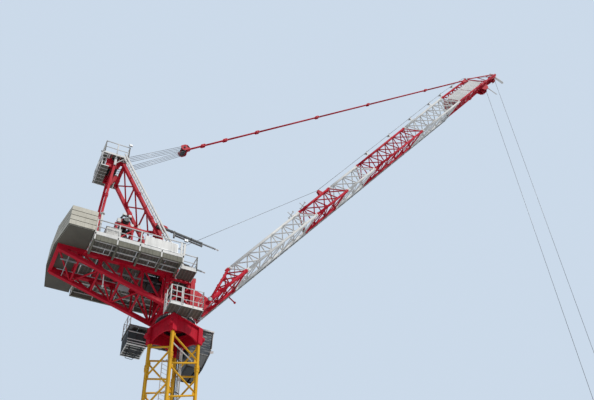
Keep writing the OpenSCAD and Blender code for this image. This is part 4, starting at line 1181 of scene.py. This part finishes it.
# the raised winch on its stand, from the stand's top
SX0, SX1, SZ = -2345, -1755, 17480
FEET = FT - SZ
k.place = above(SZ)
for y in (-470, 120):
    for x, top in ((SX0, SX0 + 40), (SX1, SX1 - 40)):
        k.beam((x, y, FEET), (top, y, 0), 60, 60, up=Y)
        k.block((x - 60, y - 60, FEET), (x + 60, y + 60, FEET + 14), 4)
    k.beam((SX0 + 20, y, -660), (SX1 - 30, y, -60), 40, 40)
    k.rail((SX0 - 30, SX1 + 330), y, 40, 70, 90)
for x in (SX0 + 20, SX1 - 20, SX1 + 300):
    k.rail(x, (-470, 120), 40, 60, 80)
k.cheek([-412, 48], 24, -2290, 84, -1820, 84, -1940, 420, -2140, 420)
k.beam((SX1 + 300, -470, 40), (-900, -500, 160), 60, 70)
k.beam((SX1 + 300, 120, 40), (-1010, 440, 160), 60, 70)
k.make("raised_winch_stand", RED)
for j in range(16):
    k.wheel(-2040, -358 + j * 25, 290, 118 if j % 2 else 112, 24, 36)
k.wheel(-2040, [-375, 35], 290, 172, 22, 48)
k.wheel(-2040, -430, 290, 110, 70, 32)
k.rod(-2040, (-540, -460), 290, 170, 28)
k.block((-1900, -300, 84), (-1700, -60, 230), 14)
k.pipe([(-2200, -470, 90), (-2230, -480, 300), (-2150, -480, 470), (-1980, -470, 500), (-1870, -450, 420)],
        60, 12)
k.make("raised_winch", DARK)
k.block((-2330, -560, 90), (-2210, -400, 250), 12)
k.rod(-1800, (-330, 40), 300, 110, 24)
k.block((-2180, -520, 470), (-2060, -420, 560), 12)
k.block((-1990, -520, 440), (-1890, -420, 540), 12)
k.block((-1640, -440, 90), (-1540, -340, 290), 12)
k.make("raised_winch_fittings", WHITE)

# ballast: lifting loops and tie rods
k.place = plain
for x, y in product((-3250, -3700), (-1200, -400, 400, 1200)):
    k.pipe([(x + a, y, z) for a, z in ((-60, 16778), (-60, 16836), (-34, 16866), (34, 16866), (60, 16836),
            (60, 16778))],
           18, 8)
for y in (-1000, 0, 1000):
    k.rod(-3052, y, (16030, 16800), 24, 10)
    k.disc((-3052, y, 16800), Z, 26, 22, 6)
    k.rail(-3052, (y - 70, y + 70), 16792, 60, 12)
k.make("ballast_loops", GALV)

# A-frame: gussets, splice collars, ropes' head
AF, AT = (-130, 500, FT), (-2425, 500, 20175)
TIE_X, TIE_Y, TIE_FOOT, TIE_TOP = -2905, 480, 16100, 20179


def on_leg(t, y, o=0):
    """Point on the A-frame's front leg, t of the way up and o off it."""
    x, _, z = lerp(AF, AT, t)
    return (x + o * 0.872, y, z + o * 0.489)


for e in (-1, 1):
    for t in (0.19, 0.5, 0.72):
        k.beam(on_leg(t - 0.012, e * 500), on_leg(t + 0.012, e * 500), 124, 124, up=Y)
        for q, o in product((-0.007, 0.007), (-36, 0, 36)):
            k.disc(on_leg(t + q, e * 566, o), (0, e, 0), 9, 12, 6)
    for t in (0.36, 0.58, 0.79, 0.99):
        k.plate([on_leg(t + q, e * y, -6) for q,
                y in ((-0.03, 446), (0.03, 446), (0.012, 330), (-0.012, 330))],
                12, (0.872, 0, 0.489))
    for y in (e * 500 - 70, e * 500 + 60):
        k.cheek(y, 10, -190, FT + 28, -70, FT + 28, -140, FT + 210, -210, FT + 210)
    for x, y in product((-240, -90), (-60, 60)):
        k.disc((x, e * 500 + y, FT + 36), Z, 14, 18, 6)
    k.wheel(TIE_X, e * TIE_Y, 16180, 46, 150, 24)
    for y in (e * TIE_Y - 58, e * TIE_Y + 46):
        k.cheek(y, 12, -2985, FT + 50, -2825, FT + 50, -2860, FT + 210, -2940, FT + 210)
    for z in (17300, 18600):
        x = TIE_X + (z - TIE_FOOT) / (TIE_TOP - TIE_FOOT) * 186
        k.block((x - 50, e * TIE_Y - 50, z - 60), (x + 50, e * TIE_Y + 50, z + 60), 8)
        for o in (-30, 30):
            k.wheel(x, e * 534, z + o, 11, 10, 6)
k.beam(on_leg(0.385, -500), on_leg(0.385, 500), 110, 130)
for e in (-1, 1):
    for y in (553, 563):
        k.cheek(e * y, 7 * e, -1180, 17440, -1010, 17380, -760, 17700, -690, 17830, -740, 17920, -1040,
                17960, -1190, 17900)
    k.wheel(-1030, e * 558, 17780, 84, 24, 30)
    # cheeks beside the head's plates, with eyes and a guard rod
    k.cheek(e * 424, 10 * e, -2880, 20130, -2640, 20130, -2600, 20430, -2700, 20560, -2800, 20560, -2900,
            20420)
    k.cheek(e * 300, 12, -2900, 20040, -2660, 20040, -2650, 20350, -2850, 20350)
for w in (30, 95, 200, 265):
    k.rod(HEAD.x + 238 * cos(radians(w)), (-380, 380), HEAD.z + 238 * sin(radians(w)), 20, 10)
k.make("aframe_gussets", RED)
k.rod(HEAD.x, (-470, 470), HEAD.z, 88, 24)
k.wheel(HEAD.x, [-472, 472], HEAD.z, 74, 14, 28)
for i in PARTS:
    for size in ((216, 42, 52, 150, 14), (156, 12, 40), (74, 50, 28)):
        k.wheel(HEAD.x, i * 90, HEAD.z, *size)
k.make("dressed_aframe_sheaves", DARK)

# head platform, with grating boards below the head as painted shade: a dark sheet that hides the red head
# plates from below
k.place = above(20400)
floor_panels(k, -3150, -2300, -640, -424, -26, 24, 3)
floor_panels(k, -3150, -2300, 424, 900, -26, 24, 3)
k.block((-3145, -420, -26), (-3004, 420, -2), 3)
# painted shade: dark grating boards below the head, where there is only shade, hiding the red head plates
for y in range(-420, 361, 156):
    k.block((-3146, y, -428), (-2884, y + 144, -408), 3)
k.make("head_platform_floor", GRATE)
for x, y in (((-3150, -2300), -640), ((-3150, -2300), 900), (-3150, (-640, 900)), (-2300, (-640, -430)),
             (-2300, (430, 900)), ((-3000, -2310), -428), ((-3000, -2310), 428)):
    k.rail(x, y, -6, 8, 74)
k.rail((-3148, -3002), range(-560, 880, 160), -38, 26, 24)
k.rail(-3002, (-640, 900), -38, 24, 30)
for x in (-2950, -2720, -2450):
    k.rail(x, (-640, -428), -44, 34, 36)
    k.rail(x, (428, 900), -44, 34, 36)
for e in (-1, 1):
    k.block((-2760, e * 518.5, -390), (-2680, e * 560, -20), 5)
    k.beam((-2720, e * 540, -320), (-2450, e * 600, -60), 26, 26)
k.rail((-3150, -2880), range(-428, 509, 156), -416, 10, 34)
k.rail(-3150, (-428, 508), -416, 10, 40)
k.rail(-3130, [-428, 508], (-416, -38), 30, 30)
for x0, y0, x1, y1, n in ((-3130, -625, -2330, -625, 2), (-3130, 880, -2330, 880, 2),
        (-3130, -625, -3130, 880, 3),
                          (-2330, -625, -2330, -470, 1), (-2330, 470, -2330, 880, 1)):
    handrail(k, (x0, y0, 2), (x1, y1, 2), n, d=32)
k.make("dressed_head_platform", WHITE)

# ladder on the A-frame
k.place = plain
LA, LB = Vector((30, -765, 15880)), Vector((-2490, -765, 20340))
LD = (LB - LA).normalized()
for y in (-75, 75):
    k.beam(LA + Vector((0, y, 0)), LB + Vector((0, y, 0)), 38, 50, up=(LD.z, 0, -LD.x))
for j in range(1, int((LB - LA).length / 140)):
    c = LA + LD * (140 * j)
    k.rod(c.x, (-840, -690), c.z, 15, 8)
for t in (0.35, 0.6, 0.85):
    p = LA + (LB - LA) * t
    k.rail(p.x, (-690, -553), p.z, 22, 26)
k.make("dressed_aframe_ladder", WHITE)

# backstops: barrels with collars, rods with heads
STOP_Y = 612
for e in (-1, 1):
    y = e * STOP_Y
    a, b = Vector((-1000, y, 17780)), Vector((460, y, 17560))
    k.tube(a, b, 84, 24)
    u = (b - a).normalized()
    for t in (60, 400, 420, 1080, 1100, 1440):
        k.tube(a + u * t, a + u * (t + 14), 104, 24)
    k.tube((-500, y, 17595), (460, y, 17450), 58, 18)
    k.block((420, y - 32, 17430), (462, y + 32, 17590), 6)
    k.block((-520, y - 30, 17480), (-470, y + 30, 17760), 5)
    for q in range(17):
        k.disc(b + u * (30 + q * 26), u, 33, 9, 16, hole=22)
    k.wheel(-1030, e * 607, 17780, 62, 108, 28)
    k.wheel(-1030, e * 672, 17780, 40, 18, 24)
k.make("dressed_backstops", GREY)
for y in (-STOP_Y, STOP_Y):
    k.tube((455, y, 17561), (1000, y, 17480), 36, 16)
    k.ball((1000, y, 17480), 60, 18, 10)
k.make("backstop_rods", WHITE)

# lamps of the upper works
for x, y, z in ((-2330, -640, 20960), (-2340, 890, 20960), (-340, -1440, 16640)):
    k.rod(x, y, (z - 60, z), 18, 8)
    k.block((x - 60, y - 70, z), (x + 60, y - 20, z + 90), 8)
k.rod(-3130, 120, (20960, 21180), 18, 8)
k.ball((-3130, 120, 21200), 70, 14, 8)
k.make("upper_lamps", GALV)

# floor, light, camera
ground = Look("studio_floor")
tone = ground.ramp(ground.noise(0.4), (0.3, 0), (0.7, 1))
k = Kit(body=None)
HALF = 90000
k.plate([(i * HALF, j * HALF, -8) for i, j in ((-1, -1), (1, -1), (1, 1), (-1, 1))], 6, Z)
k.make("studio_floor", ground.finish(ground.mix(tone, (0.60, 0.62, 0.64), (0.66, 0.68, 0.70)), 0.9))

scene = bpy.context.scene
scene.world = bpy.data.worlds.new("studio")
scene.world.use_nodes = True
air = Nodes(scene.world.node_tree)
air.tree.nodes.clear()
# what is seen of the sky is brighter than the light that it gives
ambient = air.node("Background", Color=(0.80, 0.88, 1.0), Strength=0.40)
back = air.node("Background", Color=(0.60, 0.70, 0.82), Strength=1.0)
ray = air.node("LightPath").outputs
seen = air.math("MAXIMUM", ray["Is Camera Ray"], ray["Is Glossy Ray"])
seen = air.math("MAXIMUM", seen, ray["Is Transmission Ray"])
sky = air.node("MixShader", seen, ambient.outputs[0], back.outputs[0])
air.node("OutputWorld", sky.outputs[0])

sun = bpy.data.objects.new("key_light", bpy.data.lights.new("key_light", "SUN"))
sun.data.energy = 2.25
sun.data.angle = radians(6)
sun.data.color = (1.0, 0.96, 0.90)
sun.rotation_euler = Vector((0.30, -0.72, 0.78)).to_track_quat("Z", "Y").to_euler()
scene.collection.objects.link(sun)
scene.view_settings.view_transform = "Standard"

# camera fitted to the photograph: 45 degrees up, a little rolled
PITCH, ROLL, YAW = radians(45.0), radians(-2.887), radians(27.614)
ahead = Vector((sin(YAW) * cos(PITCH), cos(YAW) * cos(PITCH), sin(PITCH)))
level = Vector((cos(YAW), -sin(YAW), 0))
up = level.cross(ahead)
right, up = cos(ROLL) * level + sin(ROLL) * up, cos(ROLL) * up - sin(ROLL) * level
cam = bpy.data.objects.new("camera", bpy.data.cameras.new("camera"))
rows = zip(right, up, -ahead, (-5.400, -18.406, 0.800))
cam.matrix_world = Matrix((*rows, (0, 0, 0, 1)))
cam.data.sensor_fit = "HORIZONTAL"
cam.data.sensor_width = 36
cam.data.lens = 46.96
cam.data.shift_x = 0.0029
cam.data.shift_y = 0.0023
cam.data.clip_start = 0.05
cam.data.clip_end = 400
scene.collection.objects.link(cam)
scene.camera = cam
